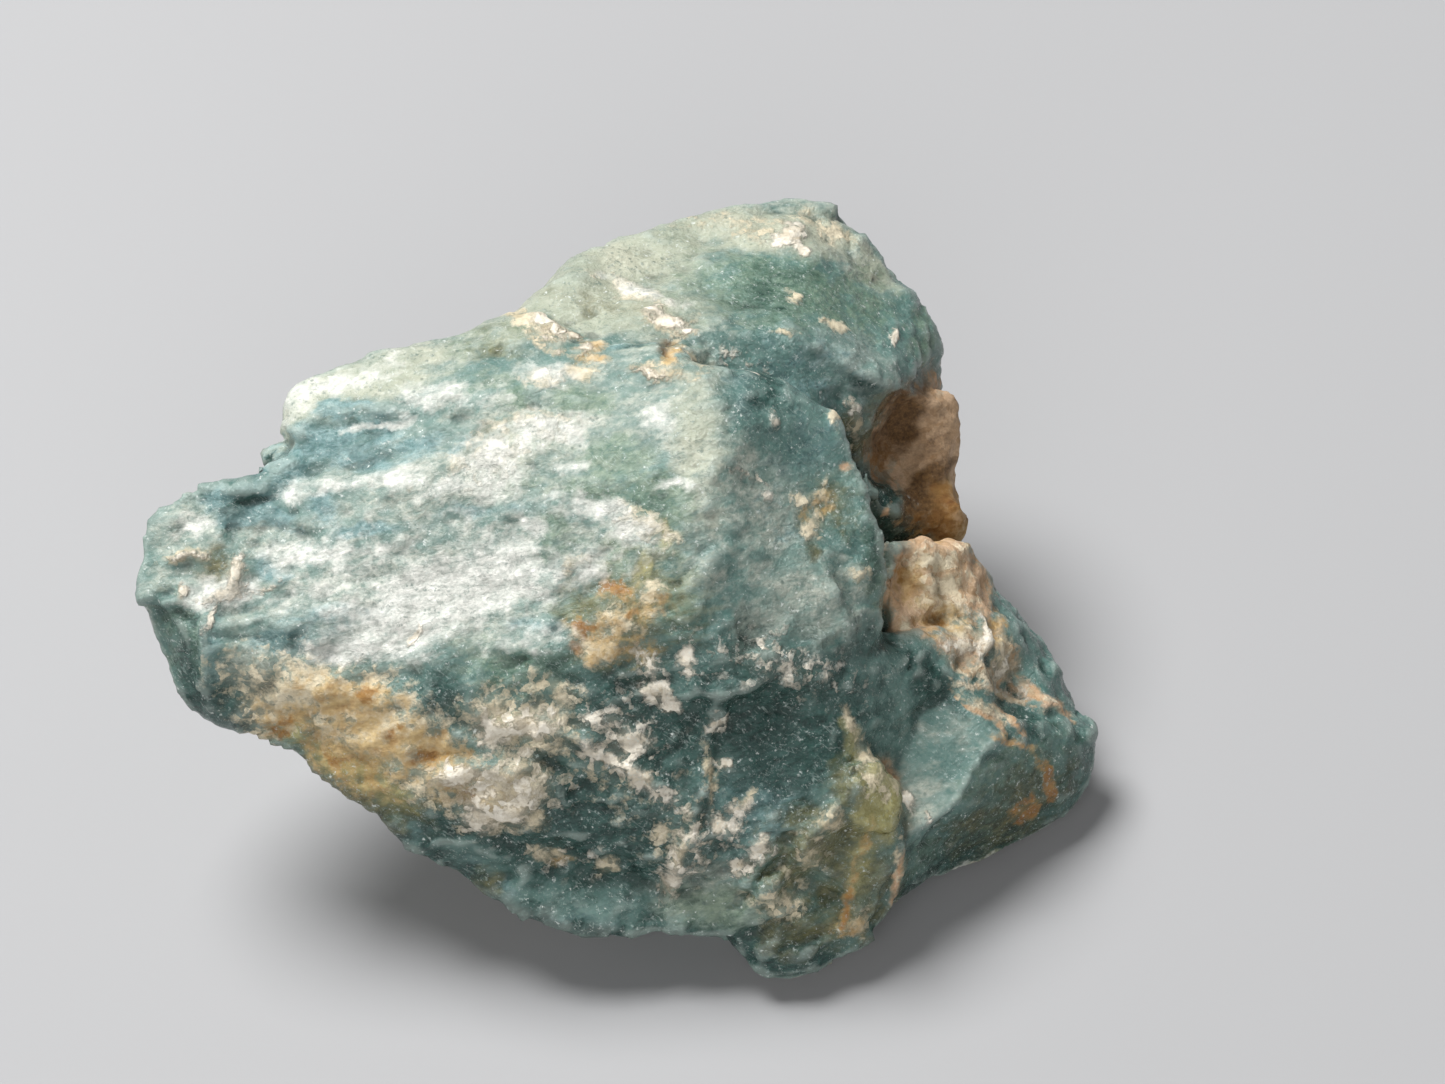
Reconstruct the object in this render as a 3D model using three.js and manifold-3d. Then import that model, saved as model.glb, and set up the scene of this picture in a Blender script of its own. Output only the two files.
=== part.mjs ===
// Rough grandidierite: one natural lump of blue-green crystal, grown together with pale
// feldspar and rusty brown matrix. It is a single broken piece, so it is a single solid.
// Millimetres, +Z up, X along the stone's length. The origin is under the middle of its
// bounding box, on the flat face that it rests on.
//
// How it is made: each lobe of the stone is the convex hull of a few corners, as a block
// bounded by flat breaks. The lobes are joined, shell-shaped breaks and pits are scooped
// out, and then the broken surface is roughened by a few tenths of a millimetre.

import * as THREE from "three";
import { ConvexGeometry } from "three/addons/geometries/ConvexGeometry.js";
import { ImprovedNoise } from "three/addons/math/ImprovedNoise.js";
import { TessellateModifier } from "three/addons/modifiers/TessellateModifier.js";
import { mergeVertices } from "three/addons/utils/BufferGeometryUtils.js";
import Module from "manifold-3d";

const wasm = await Module();
wasm.setup();

// ---- Driving dimensions ----

const SHOW_LEAN = 48; // degrees from the horizontal at which the show side is looked at
const CREST_HEIGHT = 13.2; // from the resting face up to the middle of the show side
const GRAIN = 1.35; // longest triangle edge left on the broken surface
const SPLIT_ROUNDS = 60; // more halvings than the longest edge needs
const SLIVER = 0.3; // an edge shorter than this is shrunk to a point after joining
const BALL_DETAIL = 3; // how finely a ball that scoops out a break is faceted
const WEAR = [0.55, -0.5, 0.55, -0.5]; // share of the way that each pass of wear moves a corner
const BASE_FADE = 0.9; // height over which the roughness dies out above the resting face

// The broken surface: how long and how deep each layer of its roughness is.
const ROUGHNESS = [
  { wave: 6.5, depth: 0.3 },
  { wave: 3.1, depth: 0.22 },
  { wave: 1.6, depth: 0.12 },
];

// ---- The lobes ----
// Corners on the show side are [right, up, back] from its middle, square to the lean.
// Corners on the other sides are [x, y, z] from the resting face.

const LOBES = [
  {
    // The middle of the stone: pale top and dark front break, with a soft ridge between.
    shown: [
      [-13.9, 1.2, 1.6], [-14.5, -2.9, 1.8], [-12.6, 3.5, 2.6], [-6.6, 5.8, 2.4],
      [-1.3, 6.3, 2.0], [0, 4.3, 0.7], [-0.3, 2.1, 0.2], [-1.2, -2.0, 0.2],
      [-9.4, -4.3, 0.9], [-6.5, -3.9, 0.6], [-4.2, -2.9, 0.4], [2.5, -6.2, 1.9],
      [3.9, -2.0, 2.0], [4.1, -8.0, 3.2], [1.4, -11.6, 4.0], [-2.0, -11.5, 3.8],
      [-3.7, -11.8, 4.2], [-5.5, -11.2, 4.0], [-8.7, -9.5, 3.6], [-11.1, -7.7, 3.2],
      [-12.6, -6.2, 2.8],
    ],
    hidden: [[-5, -2, 1.5], [2, -5, 1], [4, 6, 1], [-7, 3, 1.5], [-11, 6, 8], [-6, 9, 9]],
  },
  {
    // The teal break right of the ridge, ending in a thin sharp edge.
    shown: [
      [-0.6, 5.6, 1.9], [0.1, 4.1, 0.8], [-0.2, 2.1, 0.4], [-0.6, -1.9, 0.4],
      [0.8, 5.9, 2.8], [3.2, 4.4, 3.0], [4.1, 2.7, 3.0], [4.8, 0.7, 3.0],
      [5.0, -0.7, 3.1], [4.8, -3.0, 3.2], [2.4, -4.6, 1.6],
    ],
    hidden: [[2, 3, 4], [4, 1, 3], [-1, 2, 5]],
  },
  {
    // The body behind that edge and behind the pale top, which closes the gaps there.
    shown: [
      [-5.6, 5.9, 3.3], [-4.4, 6.1, 3.2], [-1.2, 6.2, 3.2], [0.7, 5.6, 3.7],
      [3.0, 4.2, 4.4], [3.9, 2.5, 4.9], [4.5, 0.5, 5.2], [4.6, -1.0, 5.0],
      [4.4, -3.2, 4.2], [-11, 0.5, 3.2], [-10, -5, 3.2], [0, -8, 4.4],
    ],
    hidden: [
      [-5, 3, 3], [3, 9, 3], [6, 5, 2], [5, 0, 2], [-7, 9.4, 10.6], [-1, 13, 10],
      [-4.4, 10.6, 4.8],
    ],
  },
  {
    // The narrow left end.
    shown: [
      [-17.5, -1.0, 1.6], [-17.3, 0.2, 1.6], [-16.7, 1.4, 1.8], [-15.3, 1.9, 1.8],
      [-13.8, 2.1, 1.6], [-11.4, 1.9, 1.8], [-17.1, -2.1, 1.2], [-16.4, -2.9, 1.0],
      [-10.2, -1.9, 0.95], [-12.2, -3.4, 1.15], [-16.3, -4.4, 2.6], [-16.1, -5.1, 2.8],
      [-14.4, -5.8, 2.9], [-12.9, -6.0, 2.7],
    ],
    hidden: [[-15.5, 2.5, 9], [-12, 4, 7], [-10, 0, 5]],
  },
  {
    // The lip below the left end, swollen and stained.
    shown: [
      [-14.2, -3.6, 1.6], [-12.4, -3.3, 1.15], [-9.6, -4.8, 1.1], [-7.8, -6.4, 1.6],
      [-8.8, -9.0, 3.1], [-10.9, -7.6, 2.8], [-12.7, -6.2, 2.6], [-14.4, -5.6, 2.7],
    ],
    hidden: [[-9, -1, 5], [-7, 1, 6]],
  },
  {
    // The smooth raised rim at the upper left.
    shown: [
      [-13.9, 2.6, 2.6], [-13.2, 4.0, 2.8], [-12.8, 4.8, 3.0], [-11.3, 4.9, 3.2],
      [-9.6, 5.7, 3.2], [-8.4, 5.9, 3.4], [-7.3, 6.5, 3.8], [-6.1, 7.1, 4.4],
      [-4.6, 6.2, 2.6], [-7.5, 4.3, 1.8], [-9.8, 3.7, 1.6], [-11.6, 3.1, 1.6],
      [-13.4, 2.2, 1.8],
    ],
    hidden: [[-12, 6, 8], [-6, 9.5, 8], [-5, 3, 6]],
  },
  {
    // The lobe behind, whose top runs up to the stone's far corner.
    shown: [
      [-6.1, 7.1, 5.0], [-4.9, 8.1, 6.0], [-3.7, 9.0, 6.9], [-2.5, 9.5, 7.6],
      [-1.0, 9.9, 8.3], [0.5, 10.6, 9.1], [2.4, 10.9, 9.7], [3.6, 10.7, 9.9],
      [4.5, 9.8, 10.0], [5.6, 8.4, 10.0], [6.5, 7.1, 10.0], [6.9, 6.0, 10.2],
      [6.7, 5.0, 10.0], [-5.2, 6.4, 3.4], [-2.5, 6.3, 3.2], [-0.7, 6.5, 3.6],
      [1.7, 6.2, 4.0], [4.6, 4.9, 5.6], [4.6, 2.7, 6.5],
    ],
    hidden: [
      [-3.6, 12.2, 8], [0.2, 14.4, 9], [4.6, 13.4, 7.2], [6.9, 10.6, 5.6], [1.8, 12, 3.4],
      [-4.5, 9, 3], [5, 9, 2],
    ],
  },
  {
    // Brown matrix on the right, between the lobe behind and the cream pad.
    shown: [
      [6.7, 5.2, 9.0], [7.2, 4.8, 9.4], [7.7, 3.3, 9.8], [7.7, 2.0, 10.2],
      [7.5, 0.8, 10.4], [5.6, 4.4, 8.0], [4.5, 2.7, 6.0], [4.4, 1.6, 6.4],
      [5.6, 0.9, 7.6],
    ],
    hidden: [[6.5, 9, 4], [3, 6, 3]],
  },
  {
    // Cream matrix below it.
    shown: [
      [4.8, 0.2, 5.0], [5.6, 0.3, 5.8], [6.9, 0.1, 7.4], [8.0, -0.2, 8.6],
      [8.4, -1.4, 8.8], [8.7, -2.2, 8.8], [8.1, -3.5, 7.4], [6.6, -3.3, 6.4],
      [5.2, -3.0, 5.0],
    ],
    hidden: [[7.5, 6, 2.5], [3, 4, 2], [7.5, 7, 4.5]],
  },
  {
    // The lobe on the right: streaked above, one flat grey-teal break, one dark one below.
    shown: [
      [3.6, -3.6, 2.5], [5.5, -3.0, 4.6], [8.1, -3.0, 7.0], [8.9, -2.1, 8.6],
      [9.9, -3.0, 8.9], [10.9, -4.5, 9.1], [11.9, -6.1, 9.4], [11.9, -6.9, 9.5],
      [10.8, -8.4, 9.2], [8.9, -9.5, 8.3], [7.0, -9.7, 7.4], [8.6, -6.2, 5.7],
      [6.3, -8.8, 4.5], [3.6, -6.4, 2.7], [5.5, -10.2, 4.8], [5.5, -10.8, 5.1],
    ],
    hidden: [[9.5, 1, 1], [9, 6, 1.5], [4, -4, 1], [8, 7.5, 3.5]],
  },
  {
    // The foot at the front, with its yellow knob at the top.
    shown: [
      [4.0, -6.2, 3.0], [4.9, -6.9, 3.1], [5.5, -8.0, 3.7], [3.7, -7.9, 2.95],
      [1.7, -9.9, 3.4], [0.6, -11.4, 3.8], [0.5, -12.4, 4.4], [2.1, -13.3, 4.8],
      [2.8, -13.0, 4.7], [4.9, -11.9, 5.0], [5.4, -11.0, 5.0], [5.6, -9.6, 4.6],
    ],
    hidden: [[0, -5, 1.2], [4, -5, 1], [3, 0, 3]],
  },
  {
    // The pale green shelf left of the foot.
    shown: [
      [-1.7, -10.6, 3.5], [0.9, -9.6, 3.1], [1.6, -10.4, 3.2], [0.7, -12.2, 4.2],
      [-0.8, -11.9, 4.0], [-1.8, -11.5, 3.9],
    ],
    hidden: [[0, -4, 3], [1, 0, 4]],
  },
  {
    // The yellow knob at the top of the foot.
    shown: [
      [3.7, -7.0, 2.8], [4.6, -6.6, 2.75], [5.3, -7.4, 3.0], [5.3, -8.4, 3.2],
      [4.2, -9.0, 3.1], [3.4, -8.2, 2.9], [4.4, -7.6, 2.65],
    ],
    hidden: [[3, 0, 3]],
  },
  {
    // The cream crust that swells out of the front break.
    shown: [
      [-8.8, -7.1, 2.1], [-6.0, -6.5, 1.7], [-4.8, -7.6, 2.2], [-5.4, -8.8, 2.8],
      [-7.8, -8.6, 2.6], [-6.7, -7.7, 2.1],
    ],
    hidden: [[-4, -1, 4]],
  },
  {
    // The hidden body, down to the flat face that the stone rests on.
    shown: [],
    hidden: [
      [-5.6, 0.4, 0], [-3.6, -3.2, 0], [-0.4, -4.4, 0], [3, -5, 0], [7.5, -0.5, 0],
      [9.2, 2.4, 0], [8.6, 5.2, 0], [4.6, 8.4, 0], [0.4, 7.6, 0], [-3.2, 8.6, 0],
      [-6.2, 4.6, 0], [-8.4, 1.2, 4.4], [-9.8, 5.2, 6.4], [-6.8, 9.6, 5.2],
      [-1.8, 11.2, 3.6], [6.8, 8.5, 5], [10, 3.5, 2.5],
    ],
  },
  {
    // A shoulder low down at the back, on the left.
    shown: [],
    hidden: [
      [-10.6, 7.4, 8.4], [-8.2, 10.2, 7.6], [-5.2, 11.8, 7], [-9.6, 6.2, 4.8],
      [-6.4, 10.4, 3.2], [-4, 9, 2], [-4, 6, 9],
    ],
  },
  {
    // A rib that runs down the back, on the right.
    shown: [],
    hidden: [
      [2.4, 13.2, 8.6], [4.4, 12.8, 4.8], [6.2, 10.6, 1.8], [3.2, 10.8, 1.2],
      [1.2, 11.6, 5], [5.6, 7, 2], [2, 6, 3],
    ],
  },
];

// ---- Shell-shaped breaks and pits: centre, reach along x, y and z ----
// On the show side the centre is [right, up, back], and elsewhere [x, y, z].

const SHOWN_SCOOPS = [
  { centre: [5.5, 2.4, -3.9], reach: 7 }, // dish in the teal break
  { centre: [0.8, -8.6, -3.3], reach: 6 }, // dish in the dark front break
  { centre: [6.3, 2.7, 7.0], reach: 2.1 }, // hollow in the brown matrix
  { centre: [5.7, 1.0, 6.0], reach: 1.1 }, // gap between the brown and the cream matrix
  { centre: [5.9, -1.4, 4.8], reach: 1.1 }, // hollows in the cream matrix
  { centre: [7.3, -1.2, 6.2], reach: 1.1 },
  { centre: [-1.4, 5.8, 1.1], reach: 0.8 }, // pit in the ledge
  { centre: [-13.7, 2.5, 1.3], reach: 0.8 }, // notch between the left end and the rim
  { centre: [-9.2, -2.7, 0.3], reach: 0.65 }, // pit in the pale top
  { centre: [9.6, -4.0, 6.6], reach: 1.6 }, // groove in the streaked part of the right lobe
];

const HIDDEN_SCOOPS = [
  { centre: [-2.2, 16.6, 5.4], reach: 5 },
  { centre: [11.5, 14.5, 4.5], reach: 6.2 },
  { centre: [-13, 12.5, 3.5], reach: 7 },
  { centre: [12.6, 3.2, -1.6], reach: 4.2 },
];

// ---- Solids ----

const lean = THREE.MathUtils.degToRad(SHOW_LEAN);

function seen([right, up, back]) {
  return new THREE.Vector3(
    right,
    up * Math.sin(lean) + back * Math.cos(lean),
    CREST_HEIGHT + up * Math.cos(lean) - back * Math.sin(lean),
  );
}

function solidOf(geometry) {
  const bare = geometry.clone();
  bare.deleteAttribute("normal");
  bare.deleteAttribute("uv");
  const welded = mergeVertices(bare);
  return new wasm.Manifold(
    new wasm.Mesh({
      numProp: 3,
      vertProperties: welded.attributes.position.array,
      triVerts: new Uint32Array(welded.index.array),
    }),
  );
}

function geometryOf(solid) {
  const mesh = solid.getMesh();
  const geometry = new THREE.BufferGeometry();
  geometry.setAttribute("position", new THREE.BufferAttribute(mesh.vertProperties, 3));
  geometry.setIndex(new THREE.BufferAttribute(mesh.triVerts, 1));
  return geometry;
}

function lobe({ shown, hidden }) {
  const corners = [...shown.map(seen), ...hidden.map((corner) => new THREE.Vector3(...corner))];
  return solidOf(new ConvexGeometry(corners));
}

function ball(centre, reach) {
  const round = new THREE.IcosahedronGeometry(reach, BALL_DETAIL);
  return solidOf(round.translate(centre.x, centre.y, centre.z));
}

function blockyStone() {
  const grown = LOBES.map(lobe).reduce((stone, next) => stone.add(next));
  const scoops = [
    ...SHOWN_SCOOPS.map(({ centre, reach }) => ball(seen(centre), reach)),
    ...HIDDEN_SCOOPS.map(({ centre, reach }) => ball(new THREE.Vector3(...centre), reach)),
  ];
  return scoops.reduce((stone, next) => stone.subtract(next), grown);
}

// Joining leaves slivers. Each edge shorter than the limit shrinks to one of its ends. It
// may do so only where what lies around both ends is the two of them and two corners more,
// so that the surface stays closed.
function withoutSlivers(geometry, limit) {
  const place = geometry.attributes.position;
  let faces = [];
  for (let i = 0; i < geometry.index.count; i += 3) {
    faces.push([0, 1, 2].map((k) => geometry.index.getX(i + k)));
  }
  const a = new THREE.Vector3();
  const b = new THREE.Vector3();
  const around = (corner) => new Set(faces.filter((f) => f.includes(corner)).flat());
  const shrinkable = ([from, to]) => {
    a.fromBufferAttribute(place, from);
    b.fromBufferAttribute(place, to);
    if (a.distanceTo(b) >= limit) {
      return false;
    }
    const near = around(from);
    const shared = [...around(to)].filter((c) => near.has(c));
    return shared.length === 2 + 2;
  };
  const edges = () => faces.flatMap(([p, q, r]) => [[p, q], [q, r], [r, p]]);
  for (let edge = edges().find(shrinkable); edge; edge = edges().find(shrinkable)) {
    const [from, to] = edge;
    faces = faces
      .filter((f) => !(f.includes(from) && f.includes(to)))
      .map((f) => f.map((c) => (c === from ? to : c)));
  }
  const clean = geometry.clone();
  clean.setIndex(faces.flat());
  return clean;
}

// Wears the edges: each corner above the resting face moves towards its neighbours' middle,
// and then a little further back, so that the stone keeps its size.
function worn(geometry) {
  const place = geometry.attributes.position;
  const near = Array.from({ length: place.count }, () => new Set());
  for (let i = 0; i < geometry.index.count; i += 3) {
    const face = [0, 1, 2].map((k) => geometry.index.getX(i + k));
    face.forEach((corner) => face.forEach((other) => near[corner].add(other)));
  }
  for (const share of WEAR) {
    const before = place.clone();
    near.forEach((others, corner) => {
      const here = new THREE.Vector3().fromBufferAttribute(before, corner);
      const middle = new THREE.Vector3();
      others.forEach((i) => middle.add(new THREE.Vector3().fromBufferAttribute(before, i)));
      middle.divideScalar(others.size);
      if (here.z > 0) {
        here.lerp(middle, share);
      }
      place.setXYZ(corner, here.x, here.y, here.z);
    });
  }
  return geometry;
}

function roughened(geometry) {
  const noise = new ImprovedNoise();
  const place = geometry.attributes.position;
  const out = geometry.attributes.normal;
  const p = new THREE.Vector3();
  const n = new THREE.Vector3();
  for (let i = 0; i < place.count; i += 1) {
    p.fromBufferAttribute(place, i);
    n.fromBufferAttribute(out, i);
    const lift = ROUGHNESS.reduce(
      (sum, { wave, depth }) => sum + depth * noise.noise(p.x / wave, p.y / wave, p.z / wave),
      0,
    );
    p.addScaledVector(n, lift * THREE.MathUtils.smoothstep(p.z, 0, BASE_FADE));
    place.setXYZ(i, p.x, p.y, p.z);
  }
  return geometry;
}

function stone() {
  const blocky = withoutSlivers(geometryOf(blockyStone()), SLIVER).toNonIndexed();
  const fine = mergeVertices(new TessellateModifier(GRAIN, SPLIT_ROUNDS).modify(blocky));
  const soft = worn(fine);
  soft.computeVertexNormals();
  const rough = roughened(soft);
  rough.computeVertexNormals();
  rough.computeBoundingBox();
  return rough;
}

const grandidierite = new THREE.MeshStandardMaterial({
  color: 0x4d7f80,
  roughness: 0.45,
  metalness: 0,
});

const specimen = new THREE.Group();
const crystal = new THREE.Mesh(stone(), grandidierite);
const middle = crystal.geometry.boundingBox.getCenter(new THREE.Vector3());
crystal.name = "grandidierite_crystal";
crystal.position.set(-middle.x, -middle.y, 0);
specimen.add(crystal);

export default specimen;
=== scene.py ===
# %% [markdown]
# # A rough crystal of grandidierite
#
# The real thing is a broken piece of a blue-green gem mineral, about 29 mm long. Some of it is
# teal crystal, some is weathered to a white skin, and bits of pink and brown host rock still
# cling to the right-hand end.
#
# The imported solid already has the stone's main faces. This script gives it a finer skin, with
# small broken facets, ledges, pits and crusts cut into the mesh, and a material in which every
# mineral has a place of its own.

import math

import bmesh
import bpy
import numpy as np
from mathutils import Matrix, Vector, noise
from mathutils.bvhtree import BVHTree


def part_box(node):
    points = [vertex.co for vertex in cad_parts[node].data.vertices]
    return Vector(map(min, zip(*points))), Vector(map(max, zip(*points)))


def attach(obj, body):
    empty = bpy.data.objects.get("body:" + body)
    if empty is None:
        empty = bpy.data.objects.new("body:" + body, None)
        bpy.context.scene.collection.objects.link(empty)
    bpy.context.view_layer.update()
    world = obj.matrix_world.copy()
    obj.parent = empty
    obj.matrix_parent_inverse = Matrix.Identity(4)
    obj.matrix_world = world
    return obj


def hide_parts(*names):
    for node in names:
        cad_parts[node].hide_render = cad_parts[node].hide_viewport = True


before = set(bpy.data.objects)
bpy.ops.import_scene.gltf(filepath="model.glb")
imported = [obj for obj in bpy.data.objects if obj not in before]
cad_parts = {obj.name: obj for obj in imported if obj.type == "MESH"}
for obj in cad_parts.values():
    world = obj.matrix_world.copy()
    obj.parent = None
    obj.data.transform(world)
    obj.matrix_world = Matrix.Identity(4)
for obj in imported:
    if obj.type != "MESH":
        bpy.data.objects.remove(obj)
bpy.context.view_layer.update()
NODE = "grandidierite_crystal"
MM = 0.001
low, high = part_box(NODE)
print("packed solid, mm:", [round(side / MM, 2) for side in high - low])

# %% [markdown]
# ## A way to point at places on the stone
#
# A stone has no straight edges to measure from, so every place on it is given as it is seen in
# the showing view: millimetres to the right of the crest, and millimetres up from it. A line is
# then dropped onto the stone from the viewer's side, and where it lands is the place.

# %% The showing view
SHOW_LEAN = math.radians(48)
CREST = Vector((2.82, -3.92, 13.2)) * MM
RIGHT = Vector((1, 0, 0))
UP = Vector((0, math.sin(SHOW_LEAN), math.cos(SHOW_LEAN)))
BACK = Vector((0, math.cos(SHOW_LEAN), -math.sin(SHOW_LEAN)))
VIEW_DISTANCE = 150 * MM
VIEW_WIDTH = 42.19 * MM
SENSOR = 36

camera_data = bpy.data.cameras.new("showing_view")
camera_data.sensor_width = SENSOR
camera_data.lens = SENSOR * VIEW_DISTANCE / VIEW_WIDTH
camera_data.clip_start = 5 * MM
camera = bpy.data.objects.new("showing_view", camera_data)
camera.location = CREST - BACK * VIEW_DISTANCE
camera.rotation_euler = (math.pi / 2 - SHOW_LEAN, 0, 0)
bpy.context.collection.objects.link(camera)
bpy.context.scene.camera = camera
print("camera, mm:", [round(value / MM, 1) for value in camera.location])

# %% [markdown]
# ## A finer skin
#
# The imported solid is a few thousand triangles, some long and thin. Relief needs points that are
# evenly spread, so a copy is merged and then rebuilt by a voxel Remesh, which lays small squares
# of one size over the whole stone.

# %% Copy and remesh
VOXEL = 0.15 * MM
MERGE_GAP = 0.0005 * MM

skin_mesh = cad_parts[NODE].data.copy()
skin_mesh.materials.clear()
stone = bpy.data.objects.new("crystal_skin", skin_mesh)
bpy.context.collection.objects.link(stone)

work = bmesh.new()
work.from_mesh(skin_mesh)
bmesh.ops.remove_doubles(work, verts=work.verts, dist=MERGE_GAP)
work.to_mesh(skin_mesh)
work.free()

remesh = stone.modifiers.new("even_squares", "REMESH")
remesh.mode = "VOXEL"
remesh.voxel_size = VOXEL
remesh.use_smooth_shade = True
bpy.context.view_layer.update()
skin = bpy.data.meshes.new_from_object(
    stone.evaluated_get(bpy.context.evaluated_depsgraph_get())
)
stone.modifiers.clear()
stone.data = skin
bpy.data.meshes.remove(skin_mesh)
print("skin:", len(skin.vertices), "points,", len(skin.polygons), "faces")

# %% Where a line from the viewer's side lands
shell = BVHTree.FromPolygons(
    [vertex.co for vertex in skin.vertices],
    [polygon.vertices for polygon in skin.polygons],
)


def depth_at(right, up):
    """How far behind the crest the stone's surface is, at a place given in mm."""
    start = CREST + (RIGHT * right + UP * up) * MM - BACK * VIEW_DISTANCE
    hit = shell.ray_cast(start, BACK)[0]
    return (hit - CREST).dot(BACK) / MM if hit else 0


print("depth of the crest, mm:", round(depth_at(0, 0), 2))

# %% [markdown]
# ## Numbers for every point
#
# The skin has too many points to move one by one, so each quantity is one long array with a value
# for each point. Three things are needed of it: where each point is in the showing view, which
# points are its neighbours, and smooth noise to break up what would be too regular.

# %% Each point of the skin, in the same millimetres
count = len(skin.vertices)


def read_points(kind):
    values = np.empty(count * 3)
    skin.vertices.foreach_get(kind, values)
    return values.reshape(-1, 3)


points = read_points("co")
normals = read_points("normal")
places = (points - np.array(CREST)) @ np.array([RIGHT, UP, BACK]).T / MM
before = places.copy()
TURNED_AWAY = 2.5
FACING_DOWN = 2.2
hidden = np.clip(TURNED_AWAY * (normals @ np.array(BACK)), 0, 1)
underside_shade = np.clip(-FACING_DOWN * (normals @ np.array(UP)) - 0.55, 0, 1) * (1 - hidden)
print("points turned away from the viewer:", int((hidden > 0.5).sum()))

# %% Neighbours on the skin
edges = np.empty(len(skin.edges) * 2, dtype=int)
skin.edges.foreach_get("vertices", edges)
edges = edges.reshape(-1, 2)
near, far = edges[:, 0], edges[:, 1]
neighbours = np.bincount(near, minlength=count) + np.bincount(far, minlength=count)


def over_neighbours(from_near, from_far):
    """Add up, at each point, what each of its edges brings."""
    return np.bincount(near, from_near, count) + np.bincount(far, from_far, count)


def calmed(values, times=1):
    """Take half of each point's value from its neighbours, so that single spikes go."""
    for _ in range(times):
        values = 0.5 * values + 0.5 * over_neighbours(values[far], values[near]) / neighbours
    return values


print("neighbours at a point:", neighbours.min(), "to", neighbours.max())


# %% Noise over the skin
def noise_field(size, seed, octaves=4, at=None):
    """Smooth random values, about -1 to 1, that change over a length of size mm."""
    shift = Vector((seed * 7.3, seed * 3.1, seed * 5.7))
    return np.array(
        [
            noise.fractal(Vector(place) / size + shift, 0.9, 2.1, octaves)
            for place in (places if at is None else at)
        ]
    )


WANDER = 0.34
drift = [noise_field(1.3, seed) for seed in (1, 2)]
ragged = places[:, :2] + WANDER * np.column_stack(drift)
print("outlines wander, mm, at most:", round(float(WANDER * np.abs(drift).max()), 2))

# %% [markdown]
# ## Patches
#
# Minerals, breaks and swellings all have a place on the stone, so they share one way of being
# placed. A patch is an ellipse: how far right and up its middle is, half its width, half its
# height, how many degrees it is turned, and how strong it is. Noise makes its outline ragged.

# %% Patches of mineral
PATCH_REACH = 1.5
PATCH_DEPTH = 0.8


def patch_field(patches):
    """1 in the middle of each patch, half of that on its outline, and nothing at twice its size."""
    field = np.zeros(count)
    for right, up, wide, tall, turn, strength in patches:
        angle = math.radians(turn)
        across = ragged[:, 0] - right
        along = ragged[:, 1] - up
        u = (across * math.cos(angle) + along * math.sin(angle)) / wide
        v = (along * math.cos(angle) - across * math.sin(angle)) / tall
        deep_reach = PATCH_REACH * max(wide, tall) + PATCH_DEPTH
        w = (places[:, 2] - depth_at(right, up)) / deep_reach
        field = np.maximum(field, strength * (1 - 0.5 * np.sqrt(u * u + v * v + w * w)))
    return np.clip(field, 0, 1)


fields = {}


def lay(name, patches, behind=None, size=3.0, seed=10):
    """Lay patches down. Noise brings the mineral back on the far sides, more with more behind."""
    field = patch_field(patches)
    if behind is not None:
        field = np.maximum(field, hidden * (behind + 1.1 * noise_field(size, seed)))
    fields[name] = np.clip(field, 0, 1)
    print(name, "covers", round(100 * float((fields[name] > 0.5).mean()), 1), "% of the skin")


# %% [markdown]
# ## The pale faces
#
# Where the crystal is bruised by tiny cracks, light scatters before it gets in, and the teal
# turns to a pale grey-green.

# %% Pale faces
PALE = [
    (-7.6, 1.9, 4.4, 1.6, 12, 0.95),
    (-4.6, 3.4, 3.6, 1.8, 10, 0.95),
    (-10.4, 4.9, 2.6, 0.9, 22, 1.3),
    (-12.4, 4.0, 1.2, 0.45, 42, 1.4),
    (-13.5, 2.6, 0.35, 0.7, -30, 0.9),
    (-7.2, 6.4, 2.4, 0.8, 27, 1.1),
    (-3.2, 8.4, 3.4, 1.2, 25, 1.3),
    (-3.4, 6.9, 2.8, 0.9, 0, 1.2),
    (-9.0, -1.6, 5.2, 1.5, 8, 1.05),
    (-13.4, -0.2, 1.4, 0.6, 10, 0.85),
    (-15.6, 0.4, 1.3, 0.8, 20, 1.0),
    (-15.2, -1.0, 1.6, 0.9, 0, 0.85),
    (-6.6, -2.6, 2.0, 0.7, 10, 0.85),
    (-3.4, -0.2, 2.4, 1.2, 0, 0.9),
    (-0.8, 2.6, 0.75, 2.9, 4, 1.15),
    (0.8, 9.7, 2.8, 0.7, -3, 1.2),
    (2.9, 9.9, 1.4, 0.6, -10, 1.1),
    (4.4, 8.7, 1.0, 0.4, -50, 1.3),
    (0.5, 2.3, 0.5, 0.8, 0, 0.85),
    (1.4, 0.8, 0.9, 1.4, 5, 0.95),
    (2.4, -1.6, 1.8, 1.1, -20, 0.9),
    (4.0, 5.4, 1.2, 0.8, -20, 0.75),
    (6.4, -6.0, 1.3, 1.8, -15, 0.35),
    (7.3, -5.9, 1.0, 0.8, 0, 0.45),
    (5.9, -7.6, 0.7, 0.9, 0, 0.9),
    (-0.7, -10.1, 0.9, 0.5, -10, 1.3),
    (5.15, -6.7, 0.25, 0.4, 25, 1.3),
    (1.1, -2.4, 0.8, 0.8, 0, 0.9),
    (-12.9, 0.4, 1.0, 0.5, 10, 1.1),
    (-13.8, -4.0, 0.8, 1.2, 15, 0.9),
    (-0.8, -0.9, 1.0, 1.0, 0, 0.8),
    (-0.2, -11.0, 1.6, 0.5, -5, 1.35),
]
lay("pale", PALE, behind=0.35, size=4.0, seed=11)

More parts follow.
